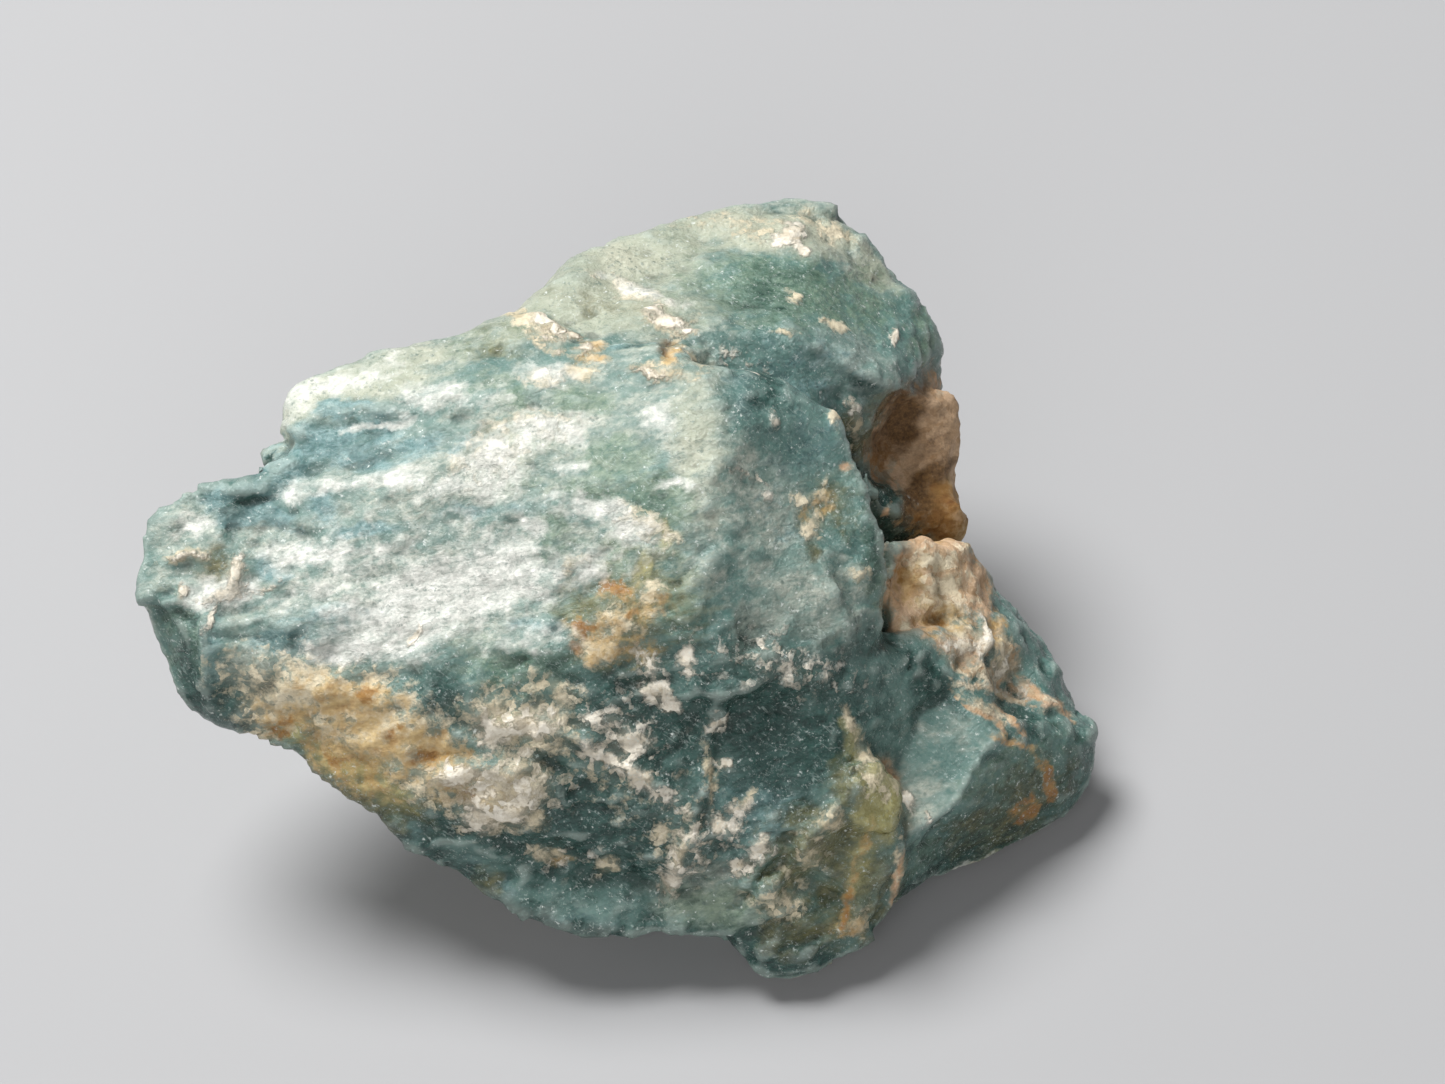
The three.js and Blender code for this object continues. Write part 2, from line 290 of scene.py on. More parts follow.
# %% Cream-green bloom, where the skin is worn smooth
BLOOM = [
    (-3.8, 8.3, 3.2, 1.0, 25, 1.6),
    (-3.4, 7.0, 2.4, 0.7, 0, 1.3),
    (-6.6, 6.9, 1.0, 0.4, 25, 1.1),
    (-6.5, 6.2, 0.8, 0.4, 10, 0.95),
    (0.4, 9.6, 2.6, 0.5, -3, 1.5),
    (3.2, 9.6, 1.0, 0.5, -20, 1.4),
    (4.6, 8.6, 0.9, 0.25, -50, 1.1),
    (-11.0, 4.6, 2.4, 0.6, 20, 1.3),
    (-12.9, 3.7, 0.9, 0.35, 45, 1.3),
    (-13.6, 2.6, 0.25, 0.6, -35, 0.6),
    (-0.7, 3.2, 0.6, 2.2, 2, 0.85),
    (-6.0, 2.9, 1.4, 0.8, 30, 0.8),
    (-0.2, -11.0, 1.4, 0.4, -5, 0.8),
]
lay("bloom", BLOOM, behind=0.0, size=3.6, seed=24)

# %% [markdown]
# ## Deep teal and painted shade
#
# Clear, unbroken crystal lets light go in and not come back, so it looks dark. The same field is
# also painted shade: its patches on the lower front, the foot and the low lobe darken them as the
# shadow they lie in would, and the next cell lays it on every face that turns down.

# %% Deep teal, and painted shade
DEEP_TEAL_AND_SHADE = [
    (2.3, 2.7, 0.9, 1.1, -40, 0.5),
    (1.3, 4.6, 0.9, 1.4, -15, 0.75),
    (4.4, 0.2, 0.3, 1.8, 6, 0.75),
    (1.7, -6.0, 1.9, 1.4, 0, 1.35),
    (2.1, -7.9, 1.3, 0.8, 0, 0.8),
    (-3.9, -8.6, 3.4, 2.0, -14, 1.1),
    (-2.4, -5.4, 2.8, 1.7, -25, 1.05),
    (1.2, -5.0, 3.0, 2.2, -10, 1.0),
    (-5.2, -6.4, 1.0, 1.2, 0, 0.95),
    (-8.6, -8.2, 0.9, 1.0, -30, 1.05),
    (-6.6, -9.4, 2.0, 0.9, -28, 0.55),
    (-0.6, -8.4, 2.2, 2.2, 0, 0.75),
    (0.4, -3.5, 0.9, 0.5, -20, 0.9),
    (2.6, -4.2, 1.8, 0.9, -20, 0.95),
    (6.2, -4.2, 1.2, 0.5, -30, 1.05),
    # Painted shade: this row darkens the low lobe's lower face, which turns away from the lamp.
    (8.8, -8.8, 3.0, 1.1, 38, 1.15),
    (5.2, 1.2, 0.6, 0.6, -40, 1.1),
    # Painted shade: this row darkens the foot, which stands in shadow.
    (1.6, -12.2, 1.6, 0.9, 0, 1.2),
    (-15.9, -3.5, 0.7, 1.5, 10, 0.85),
    (-8.3, -4.4, 0.6, 1.2, 20, 0.85),
    (1.2, 7.3, 1.2, 0.6, 10, 0.6),
    (2.0, 8.0, 0.8, 0.4, 0, 0.6),
    (-5.0, -6.8, 0.5, 0.8, 0, 0.9),
    (-3.6, -5.0, 1.0, 0.7, 0, 0.7),
    (-4.3, -5.9, 0.5, 0.4, 0, 0.9),
    (2.3, -11.3, 1.2, 0.25, 12, 1.0),
    (4.2, -3.0, 0.6, 0.7, -10, 0.7),
    (9.4, -5.6, 0.9, 0.4, -30, 0.8),
    (-12.5, -2.9, 0.9, 0.3, -8, 0.7),
    (-14.2, 1.2, 0.9, 0.4, 15, 0.75),
    (-4.7, -0.3, 0.5, 0.14, 10, 0.7),
    (-5.8, -0.8, 0.18, 0.16, 0, 0.85),
    (-2.0, 1.1, 0.5, 0.4, -20, 0.62),
]
lay("deep", DEEP_TEAL_AND_SHADE, behind=0.1, size=3.4, seed=12)

# %% Painted shade on the undersides
# Painted shade: points that face down get the dark teal, as the shade under the stone would make
# them.
fields["deep"] = np.maximum(fields["deep"], 0.9 * underside_shade)
print("dark underneath:", int((underside_shade > 0.5).sum()), "points")

# %% [markdown]
# ## Blue and green
#
# The crystal is pleochroic: it looks bluer or greener with the direction that light goes through
# it, so some faces lean to blue and others to a soft green. Along the lower rim the blue is
# painted glow, where light would shine through the crystal.

# %% Blue faces
BLUE = [
    (-11.7, 3.0, 1.9, 0.7, 17, 0.92),
    (-10.9, 3.85, 1.1, 0.12, 8, 1.15),
    (-12.9, 2.3, 0.9, 0.5, 30, 0.95),
    (-14.1, 1.15, 1.0, 0.45, 20, 1.25),
    (-13.4, 0.85, 0.7, 0.35, 0, 1.25),
    (-15.0, 1.4, 0.5, 0.3, 10, 1.2),
    (-14.4, 0.45, 0.4, 0.2, 20, 1.0),
    (-11.9, 1.0, 0.5, 0.3, 15, 1.1),
    (-10.3, 2.5, 0.5, 0.45, 12, 1.1),
    (-10.3, 3.1, 0.8, 0.12, 12, 0.95),
    (-9.1, 2.8, 1.2, 0.3, 12, 0.9),
    (-7.4, 2.9, 1.0, 0.3, 12, 0.75),
    (-10.4, 0.45, 0.9, 0.14, 12, 1.2),
    (-12.3, 0.35, 1.0, 0.25, 10, 0.5),
    (-7.0, 0.9, 1.5, 0.2, 8, 0.85),
    (-13.3, -0.9, 0.5, 0.22, -10, 1.2),
    (-10.3, -2.0, 0.9, 0.14, 5, 1.2),
    (-11.6, -2.3, 1.0, 0.3, 0, 0.85),
    (-12.6, -2.9, 1.2, 0.4, -8, 1.0),
    (-5.2, -2.5, 0.9, 0.3, 0, 0.85),
    (-15.0, -3.4, 0.25, 1.2, 0, 0.8),
    (1.3, -7.7, 1.5, 1.1, 0, 1.0),
    (1.6, -8.7, 0.6, 0.35, 0, 1.2),
    (-4.8, -8.5, 0.9, 0.6, 0, 0.8),
    (0.6, 4.6, 0.9, 1.2, -10, 0.5),
    (2.0, 5.0, 1.4, 0.9, -20, 0.6),
    (3.6, 5.3, 1.4, 0.8, -20, 0.6),
    (2.6, 2.0, 1.4, 2.2, -20, 0.5),
    # Painted glow: these three thin rows lighten the lower rim, as light shining through would.
    (-9.1, -8.9, 1.1, 0.3, -40, 0.9),
    (-7.0, -10.3, 1.2, 0.25, -33, 0.9),
    (-4.4, -11.4, 1.6, 0.3, -18, 1.0),
]
lay("blue", BLUE, behind=0.2, size=2.6, seed=13)

# %% Green faces
GREEN = [
    (-7.2, 6.0, 1.2, 0.5, 5, 0.7),
    (-6.1, 4.5, 0.7, 0.4, 0, 1.0),
    (-4.2, 4.2, 0.9, 0.4, 10, 1.05),
    (-1.9, 1.2, 0.8, 0.7, -20, 1.4),
    (-3.2, 2.4, 0.9, 0.6, 0, 1.15),
    (-3.9, 1.4, 0.9, 0.4, -5, 1.1),
    (-5.0, 0.6, 0.4, 0.4, 0, 1.2),
    (-3.1, -0.6, 0.4, 0.8, 0, 1.2),
    (-4.8, -0.25, 0.9, 0.25, 10, 0.95),
    (-5.8, 1.8, 0.9, 0.3, 10, 0.7),
    (-7.6, 4.6, 1.4, 0.4, 10, 0.75),
    (-6.0, -3.6, 1.6, 0.7, 0, 0.9),
    (-2.0, -0.4, 1.2, 1.2, 0, 0.65),
    (-1.5, -1.8, 0.8, 0.9, 0, 1.0),
    (-4.3, -1.8, 0.9, 0.4, 20, 0.95),
    (0.0, -11.1, 1.6, 0.6, -5, 1.1),
    (1.9, 7.6, 2.6, 1.0, -5, 1.0),
    (4.4, 7.4, 1.0, 1.0, -30, 0.8),
    (6.3, 6.4, 0.5, 0.8, 0, 0.9),
    (9.0, -7.8, 1.8, 1.2, 30, 1.0),
    (6.4, -9.9, 1.0, 0.6, 30, 0.8),
    (-15.9, -3.2, 0.8, 1.3, 10, 0.9),
    (4.6, -0.4, 0.4, 2.2, 5, 0.9),
]
lay("green", GREEN, behind=0.25, size=3.8, seed=14)

# %% [markdown]
# ## Olive film
#
# A thin film of iron and clay sits in the hollows that were last to be washed.

# %% Olive film
OLIVE = [
    (-11.6, -6.4, 1.2, 0.8, -38, 1.15),
    (-10.5, -7.3, 1.3, 0.7, -33, 1.2),
    (-2.8, -1.9, 1.6, 1.3, 0, 0.85),
    (-2.5, -0.85, 0.3, 0.4, 0, 1.3),
    (-6.9, 3.3, 0.35, 0.15, 30, 0.95),
    (-7.0, 2.7, 0.45, 0.25, 30, 0.85),
    (-9.1, 1.7, 0.12, 0.12, 0, 1.1),
    (3.0, 1.2, 0.8, 0.8, 0, 0.8),
    (4.3, 3.3, 0.6, 0.5, -20, 0.95),
    (4.4, -7.9, 0.9, 0.9, 0, 1.0),
    (3.6, -7.2, 0.4, 0.6, 0, 1.1),
    (3.2, -9.0, 1.6, 1.1, 20, 1.05),
    (4.0, -10.2, 1.2, 1.5, 0, 1.1),
    (2.2, -9.9, 1.1, 0.8, 20, 0.9),
    (2.9, -11.6, 1.2, 0.5, 10, 0.95),
    (-7.1, -10.2, 0.3, 0.25, -30, 0.95),
    (-15.1, -0.75, 0.4, 0.4, 0, 1.15),
    (3.75, 3.4, 0.25, 0.3, 0, 1.0),
    (3.4, 0.4, 0.1, 0.5, 20, 0.9),
    (2.6, -0.3, 0.12, 0.35, 20, 0.9),
    (-1.7, 0.3, 0.25, 0.25, 0, 0.8),
    (-7.5, 7.1, 0.9, 0.3, 27, 0.4),
    (-3.8, 7.2, 1.8, 0.3, -6, 0.42),
    (-7.0, 5.9, 0.7, 0.5, 0, 0.6),
    (5.0, 4.2, 0.4, 0.3, 45, 0.9),
    (4.5, 3.4, 0.3, 0.8, -20, 1.0),
    # This row is olive film and painted shade: it darkens the low lobe's lower face as shade would.
    (8.9, -8.4, 1.8, 0.9, 35, 0.75),
    (-3.2, -1.4, 0.5, 0.3, 0, 1.0),
]
lay("olive", OLIVE, behind=-0.15, size=2.4, seed=15)

# %% Honey film
HONEY = [
    (4.7, -7.8, 0.5, 0.5, 0, 1.5),
    (4.6, -8.5, 0.35, 0.4, 0, 0.9),
    (4.1, -9.4, 0.35, 0.9, -12, 0.75),
    (3.9, -6.2, 0.25, 0.8, 20, 0.8),
    (-10.9, -6.7, 1.6, 0.35, -33, 0.8),
    (-1.75, 0.2, 0.15, 0.35, 0, 1.0),
    (-2.45, -0.8, 0.2, 0.3, 0, 1.1),
    (4.8, -7.3, 0.5, 0.6, 0, 1.2),
    (-12.6, -5.9, 0.8, 0.3, -30, 0.8),
]
lay("honey", HONEY, behind=-0.2, size=2.0, seed=23)

# %% [markdown]
# ## Cream and pink host rock
#
# Feldspar from the rock that the crystal grew in. It is opaque, grainy and matt.

# %% Cream rock
CREAM = [
    (-6.0, 6.55, 0.5, 0.2, -25, 1.15),
    (-5.3, 6.3, 0.6, 0.22, -25, 1.15),
    (-4.6, 5.95, 0.5, 0.2, -20, 1.15),
    (-3.9, 5.65, 0.35, 0.2, -30, 1.05),
    (-5.3, 4.9, 0.5, 0.3, 0, 0.95),
    (-4.2, 5.1, 0.3, 0.2, -30, 0.95),
    (-1.7, 5.15, 0.9, 0.22, 3, 1.1),
    (-1.4, 5.7, 0.25, 0.35, 0, 1.05),
    (-2.5, 7.5, 1.1, 0.22, -17, 0.9),
    (-1.6, 6.6, 0.7, 0.3, -8, 1.0),
    (-6.7, 2.6, 1.0, 0.7, 35, 0.75),
    (-5.2, 3.5, 1.0, 0.4, 0, 0.8),
    (-2.3, 0.45, 0.8, 0.4, -30, 0.85),
    (-4.45, -0.76, 0.3, 0.2, 0, 1.0),
    (-2.0, -1.5, 0.35, 0.25, 0, 1.0),
    (-1.8, -2.1, 0.3, 0.2, 0, 0.9),
    (-2.9, -2.6, 0.35, 0.25, 0, 1.0),
    (-15.85, -0.45, 0.6, 0.14, 12, 1.05),
    (-16.1, -1.55, 0.16, 0.25, 0, 1.0),
    (-14.4, -1.1, 0.3, 0.4, -10, 1.0),
    (-11.8, -4.4, 2.4, 0.9, -14, 0.95),
    (-10.0, -5.5, 1.9, 0.9, -22, 1.1),
    (-13.2, -4.8, 0.9, 0.8, 0, 1.0),
    (-8.0, -6.9, 1.3, 0.7, 0, 1.0),
    (-6.5, -7.4, 1.2, 0.9, 10, 1.25),
    (-6.1, -5.3, 1.5, 0.8, -10, 0.95),
    (-3.6, -6.6, 2.0, 1.2, -35, 0.4),
    (-1.2, -8.6, 1.3, 1.6, 0, 0.38),
    (-3.2, -2.3, 0.5, 0.4, 20, 0.9),
    (-5.0, -4.3, 0.9, 0.3, -10, 0.72),
    (-5.5, -8.2, 0.5, 0.3, 0, 0.95),
    (-3.6, -3.0, 0.5, 0.4, 0, 1.0),
    (-5.3, -9.5, 0.4, 0.25, 0, 0.9),
    (-3.4, -10.1, 0.4, 0.25, 10, 0.95),
    (-1.25, -9.3, 0.25, 0.7, -20, 1.05),
    (-1.7, -10.5, 0.3, 0.3, 0, 1.0),
    (-0.45, -7.0, 0.14, 1.0, 3, 0.95),
    (0.7, -7.6, 0.2, 0.3, 0, 0.8),
    (-1.7, -8.5, 0.3, 0.2, 30, 0.8),
    (3.8, -5.5, 0.2, 0.6, 20, 0.95),
    (4.3, -6.3, 0.25, 0.6, 25, 0.95),
    (4.75, -6.75, 0.3, 0.25, -30, 0.9),
    (4.4, -7.1, 0.35, 0.25, -20, 0.75),
    (4.85, -7.3, 0.35, 0.22, 0, 0.7),
    (5.25, -8.0, 0.07, 0.8, -4, 0.9),
    (5.2, -9.6, 0.07, 0.8, 14, 0.9),
    (2.6, -9.3, 0.5, 0.9, -35, 0.62),
    (3.2, -8.1, 0.35, 0.3, 0, 0.9),
    (2.75, 1.3, 0.4, 0.2, 0, 0.95),
    (2.2, 1.3, 0.22, 0.17, 0, 0.95),
    (2.5, 0.45, 0.2, 0.3, 0, 1.0),
    (2.95, 1.7, 0.1, 0.3, 0, 0.85),
    (3.3, 3.9, 0.12, 0.5, 25, 1.0),
    (4.1, 3.5, 0.12, 0.4, -20, 0.9),
    (3.9, -1.0, 0.35, 0.3, 0, 0.8),
    (0.4, 9.7, 1.6, 0.3, -4, 0.6),
    (3.2, 9.7, 0.9, 0.3, -20, 0.85),
    (6.6, -1.5, 0.7, 0.5, 0, 0.8),
    (5.8, -0.3, 0.3, 0.5, 0, 0.7),
    (6.9, -2.6, 0.6, 0.3, -30, 1.0),
    (5.5, -2.5, 0.3, 0.25, 0, 0.8),
    (8.5, -3.6, 0.4, 0.5, 0, 1.05),
    (9.9, -4.7, 0.6, 0.1, -32, 0.9),
    (7.3, -0.2, 0.3, 0.3, 0, 0.7),
    (8.0, -4.0, 1.1, 0.14, -24, 0.8),
    (8.5, -4.65, 1.2, 0.13, -24, 0.85),
    (7.8, -4.9, 1.0, 0.14, -42, 0.85),
    (6.4, -0.7, 0.8, 0.5, 0, 0.95),
    (6.7, -1.5, 0.8, 0.8, -10, 0.9),
    (2.2, 7.4, 0.15, 0.15, 0, 0.9),
    (3.35, 6.5, 0.22, 0.25, 0, 0.85),
    (2.95, 6.6, 0.1, 0.12, 0, 0.9),
    (1.9, 6.3, 0.28, 0.12, 0, 0.8),
    (1.7, -10.9, 0.7, 0.5, -10, 0.7),
    (4.2, -11.5, 0.35, 0.4, 0, 0.8),
]
lay("cream", CREAM, behind=-0.25, size=2.8, seed=16)

# %% Pink rock
PINK = [
    (6.5, 3.1, 0.8, 1.5, -8, 1.5),
    (7.2, 2.4, 0.6, 1.2, -8, 1.6),
    (5.4, 3.2, 0.7, 1.0, -20, 1.3),
    (5.9, 2.2, 0.7, 0.6, 0, 1.2),
    (7.0, 0.0, 0.4, 0.7, -30, 1.3),
    (6.6, 1.0, 0.4, 0.8, 0, 1.3),
    (6.3, -0.9, 1.0, 1.1, -5, 1.5),
    (7.5, -1.3, 0.7, 0.9, 15, 1.3),
    (7.9, -0.3, 0.5, 0.3, -50, 1.1),
    (5.4, -2.4, 0.4, 0.5, 0, 1.1),
    (7.2, -3.1, 0.8, 0.4, -10, 1.0),
    (8.7, -3.6, 0.4, 0.5, 0, 0.9),
    (8.0, -4.0, 1.1, 0.11, -24, 1.05),
    (8.5, -4.6, 1.3, 0.1, -24, 1.05),
    (9.9, -4.7, 0.9, 0.18, -32, 1.15),
    (10.3, -5.2, 0.5, 0.15, -50, 1.0),
    (7.7, -5.0, 1.0, 0.1, -42, 1.05),
    (8.6, -5.4, 0.7, 0.09, -35, 0.9),
    (8.8, -6.1, 0.5, 0.12, -10, 1.0),
    (8.4, -2.8, 0.25, 0.4, 0, 0.8),
    (5.8, -1.6, 0.8, 1.0, 0, 1.3),
    (3.6, 2.1, 0.18, 0.15, 0, 0.9),
    (5.1, 0.8, 0.15, 0.15, 0, 1.0),
    (5.4, -10.2, 0.14, 0.9, 4, 0.9),
    (5.2, -7.0, 0.3, 0.5, 30, 1.1),
]
lay("pink", PINK, behind=-0.45, size=3.1, seed=17)

# %% [markdown]
# ## Iron stain
#
# Ochre where it is thin, rust where it has pooled, and umber in the deepest hollows of the
# brown rock, where it is stain and painted shade together; one umber row is a band of painted
# shadow under the brown block.

# %% Ochre
OCHRE = [
    (6.6, 1.1, 0.5, 0.8, -8, 1.15),
    (6.8, 0.5, 0.25, 0.35, 0, 1.1),
    (5.7, -1.25, 0.4, 0.5, 4, 1.0),
    (6.6, -2.3, 0.5, 0.35, 0, 1.0),
    (8.4, -2.7, 0.22, 0.4, 0, 0.9),
    (-10.9, -4.8, 1.3, 0.6, -15, 0.95),
    (-12.6, -5.2, 0.9, 0.45, -15, 1.0),
    (-9.8, -5.9, 1.5, 0.6, -22, 1.05),
    (-8.6, -6.0, 0.8, 0.5, -20, 1.05),
    (-11.0, -6.5, 1.2, 0.6, -30, 0.95),
    (-3.1, -1.4, 0.6, 0.28, -10, 0.5),
    (-3.8, -2.5, 0.6, 0.4, -10, 0.9),
    (-3.0, -2.3, 0.8, 0.35, 0, 0.6),
    (-3.0, -3.1, 1.0, 0.3, -5, 0.75),
    (-2.0, -1.8, 0.6, 0.35, 10, 0.55),
    (-7.3, -7.3, 1.0, 0.4, 0, 0.7),
    (-4.0, 5.6, 0.3, 0.16, 0, 0.8),
    (-1.5, 5.75, 0.28, 0.25, 0, 1.05),
    (4.2, -9.0, 0.12, 0.7, -22, 0.9),
    (3.75, -10.6, 0.15, 0.8, -5, 0.75),
    (3.9, -11.6, 0.4, 0.3, 0, 0.85),
    (9.85, -7.2, 0.2, 0.7, 20, 0.75),
    (9.3, -8.3, 0.35, 0.35, 20, 0.8),
    (8.9, -6.1, 0.6, 0.15, -15, 0.8),
    (-4.8, -9.8, 0.35, 0.15, 0, 0.8),
    (2.7, 1.1, 0.4, 0.25, 20, 0.8),
    (-8.85, -2.55, 0.16, 0.12, 30, 1.0),
]
lay("ochre", OCHRE, behind=-0.3, size=2.5, seed=18)

# %% Rust
RUST = [
    (-3.15, -1.38, 0.3, 0.14, -10, 0.9),
    (-3.95, -2.3, 0.2, 0.28, 60, 1.05),
    (-2.7, -2.2, 0.3, 0.12, 40, 0.9),
    (-4.3, -3.0, 0.2, 0.14, 0, 0.9),
    (6.5, 1.2, 0.4, 0.6, 0, 1.2),
    (5.4, -0.9, 0.3, 0.35, 0, 0.95),
    (-13.0, -5.25, 0.22, 0.16, 0, 1.1),
    (-13.1, -5.75, 0.3, 0.08, -35, 1.1),
    (-10.6, -4.55, 0.35, 0.18, -10, 1.05),
    (-8.75, -6.2, 0.4, 0.16, -10, 1.05),
    (-9.7, -5.5, 0.3, 0.12, 0, 0.9),
    (-11.5, -6.4, 0.2, 0.15, 0, 0.9),
    (9.3, -8.3, 0.4, 0.35, 0, 1.1),
    (9.9, -7.3, 0.16, 0.6, 18, 1.15),
    (-7.3, -7.4, 0.35, 0.1, 0, 0.9),
    (3.7, -10.9, 0.08, 0.5, -5, 0.9),
    (5.0, 2.6, 0.3, 0.5, -20, 0.8),
    (6.5, -2.35, 0.3, 0.16, 0, 1.0),
]
lay("rust", RUST, behind=-0.4, size=1.8, seed=19)

# %% Umber, stain and painted shade
UMBER_AND_SHADE = [
    (5.5, 3.7, 0.6, 1.0, -25, 1.35),
    (6.5, 3.2, 0.7, 1.3, -8, 0.6),
    # Painted shadow: this row is a dark band where shade falls under the brown block.
    (6.45, 1.95, 0.9, 0.24, 32, 1.5),
    (6.05, 1.3, 0.35, 0.5, 0, 1.25),
    (-1.75, 6.0, 0.25, 0.15, -20, 0.9),
]
lay("umber_and_shade", UMBER_AND_SHADE)

# %% [markdown]
# ## Milky bruises, white crust and painted glints
#
# Two whites, made apart because they fade in different ways. A bruise is inside the crystal, so
# it is a soft cloud. A crust lies on top, so it is made of separate crumbs. A few of the crust
# patches are painted highlights, white glints where the lamp would shine back.

# %% Milky bruises
MILK = [
    (-8.2, -1.6, 2.4, 0.8, 17, 1.5),
    (-6.9, -1.1, 1.6, 0.8, 12, 1.3),
    (-8.6, -2.3, 1.1, 0.4, 15, 1.15),
    (-8.5, 0.4, 5.0, 1.2, 12, 0.34),
    (-12.1, -0.4, 1.3, 0.35, 8, 1.0),
    (-10.6, -0.7, 1.6, 0.4, 8, 0.6),
    (-11.8, -1.6, 1.6, 0.4, 6, 0.55),
    (-10.8, -3.1, 1.4, 0.35, 4, 0.95),
    (-9.2, -2.8, 1.4, 0.4, 10, 1.0),
    (-12.6, 1.5, 0.5, 0.25, 15, 0.75),
    (-10.9, 1.6, 1.0, 0.25, 8, 0.85),
    (-9.3, 1.85, 0.9, 0.3, 12, 0.8),
    (-9.9, -0.1, 0.9, 0.3, 10, 0.65),
    (-2.7, 0.4, 0.9, 0.45, -25, 0.85),
    (-3.9, -1.0, 0.5, 0.25, 0, 0.9),
    (-8.0, 1.6, 0.8, 0.3, 10, 0.85),
    (-6.7, 2.3, 0.9, 0.8, 35, 1.0),
    (-5.7, 3.1, 0.8, 0.5, 35, 0.95),
    (-5.0, 3.45, 0.9, 0.4, -5, 1.0),
    (-5.6, 0.5, 0.4, 0.2, 0, 1.2),
    (-3.6, 0.9, 1.2, 0.3, -12, 0.95),
    (-4.4, 2.25, 0.3, 0.15, 0, 0.95),
    (-4.35, 3.0, 0.3, 0.12, 0, 0.9),
    (-1.3, 1.7, 0.5, 0.15, -10, 0.9),
    (-1.8, 3.6, 0.5, 0.3, -20, 0.85),
    (-10.6, 3.5, 0.6, 0.06, 8, 1.0),
    (-9.6, 3.65, 0.5, 0.07, 5, 0.95),
    (-8.3, 4.3, 1.4, 0.4, 5, 0.85),
    (-11.6, 4.5, 1.6, 0.35, 24, 0.95),
    (-15.7, 0.3, 0.5, 0.25, 10, 0.95),
    (-14.9, -1.5, 0.9, 0.4, 0, 1.35),
    (-5.2, 5.0, 0.7, 0.4, 0, 0.95),
    (-2.4, 7.5, 1.1, 0.2, -17, 0.95),
    (-4.2, -0.6, 1.4, 0.5, 0, 0.6),
    (-5.6, -2.9, 1.4, 0.4, 10, 0.6),
]
lay("milk", MILK, behind=0.0, size=2.6, seed=22)

# %% White crust and painted glints
CRUST_AND_GLINTS = [
    (-14.35, -1.0, 0.2, 0.35, -10, 1.3),
    (-14.5, -1.4, 0.4, 0.2, 0, 1.2),
    (-14.8, -1.65, 0.6, 0.2, 5, 1.1),
    (-13.3, -1.25, 0.4, 0.12, 25, 1.1),
    (-16.1, -1.5, 0.14, 0.22, 0, 1.0),
    (-15.8, -0.45, 0.5, 0.08, 12, 1.0),
    (-15.1, -2.3, 0.07, 0.3, -20, 1.1),
    (-1.6, 6.65, 0.55, 0.2, -8, 1.35),
    (-5.4, 6.35, 0.5, 0.12, -25, 1.0),
    (-4.6, 5.95, 0.5, 0.15, -20, 1.15),
    (-2.0, 5.1, 0.8, 0.14, 3, 0.9),
    # Painted highlights: this row and the next are white glints on the back lobe's crest.
    (1.95, 9.4, 0.35, 0.24, 10, 1.5),
    (2.4, 9.05, 0.2, 0.18, 0, 1.2),
    (5.15, 6.35, 0.3, 0.12, 55, 1.2),
    (4.15, 4.05, 0.25, 0.3, 20, 0.85),
    (1.45, 3.6, 0.12, 0.35, 20, 0.75),
    (0.9, 1.7, 0.8, 0.1, -35, 0.62),
    (0.5, 5.5, 0.9, 0.4, -30, 0.42),
    (-1.9, -4.5, 0.6, 0.3, -30, 1.25),
    (-2.1, -3.6, 0.5, 0.3, -30, 0.8),
    (-0.9, -3.5, 0.2, 0.5, 0, 0.8),
    (-2.7, -5.8, 0.6, 0.35, -10, 1.05),
    (-3.7, -5.3, 0.6, 0.25, -20, 0.8),
    (-2.5, -6.9, 1.1, 0.22, -36, 1.15),
    (-3.7, -6.2, 0.5, 0.18, -40, 1.0),
    (-3.0, -5.6, 1.6, 1.1, -35, 0.42),
    (-6.4, -7.3, 1.4, 1.0, 0, 0.62),
    (-6.1, -7.8, 0.5, 0.4, 20, 1.25),
    (-0.15, -6.5, 0.3, 0.1, -35, 1.0),
    (-0.1, -5.3, 0.28, 0.28, 40, 1.1),
    (0.05, -8.5, 0.4, 0.3, 0, 1.15),
    (0.6, -7.9, 0.4, 0.3, 0, 0.8),
    (1.15, -9.15, 0.42, 0.26, 20, 1.05),
    (0.6, -9.75, 0.4, 0.25, 30, 1.1),
    (-1.5, -9.9, 0.4, 0.9, -15, 0.9),
    (-0.6, -8.8, 1.0, 1.0, 0, 0.4),
    (-4.6, -9.8, 1.6, 0.5, -10, 0.4),
    (-7.1, -8.05, 0.5, 0.4, 0, 1.1),
    (-7.0, -7.3, 0.5, 0.3, 0, 1.0),
    (-5.75, -5.3, 0.7, 0.35, -15, 1.05),
    (-6.7, -5.5, 0.6, 0.45, 20, 0.95),
    (-7.7, -6.8, 0.7, 0.4, 0, 0.9),
    (1.6, -3.6, 2.6, 0.7, -15, 0.46),
    # Painted highlight: this row is a white glint.
    (7.75, -3.0, 0.15, 0.5, -4, 1.3),
    (7.1, -3.15, 0.4, 0.22, 0, 1.0),
    (8.5, -3.8, 0.2, 0.25, 0, 1.0),
    (8.8, -4.3, 1.4, 0.8, -25, 0.35),
    (5.55, -7.5, 0.16, 0.4, 25, 1.2),
    (6.2, -8.3, 0.12, 0.3, 15, 0.8),
    # Painted highlight: this row is the glint in the pit.
    (-9.15, -2.6, 0.25, 0.1, 35, 1.35),
]
lay("crust", CRUST_AND_GLINTS, behind=-0.3, size=2.2, seed=20)

# %% [markdown]
# ## Glassy breaks
#
# A fresh break across clear crystal is shell-shaped and smooth. These places get little relief
# and a high gloss.

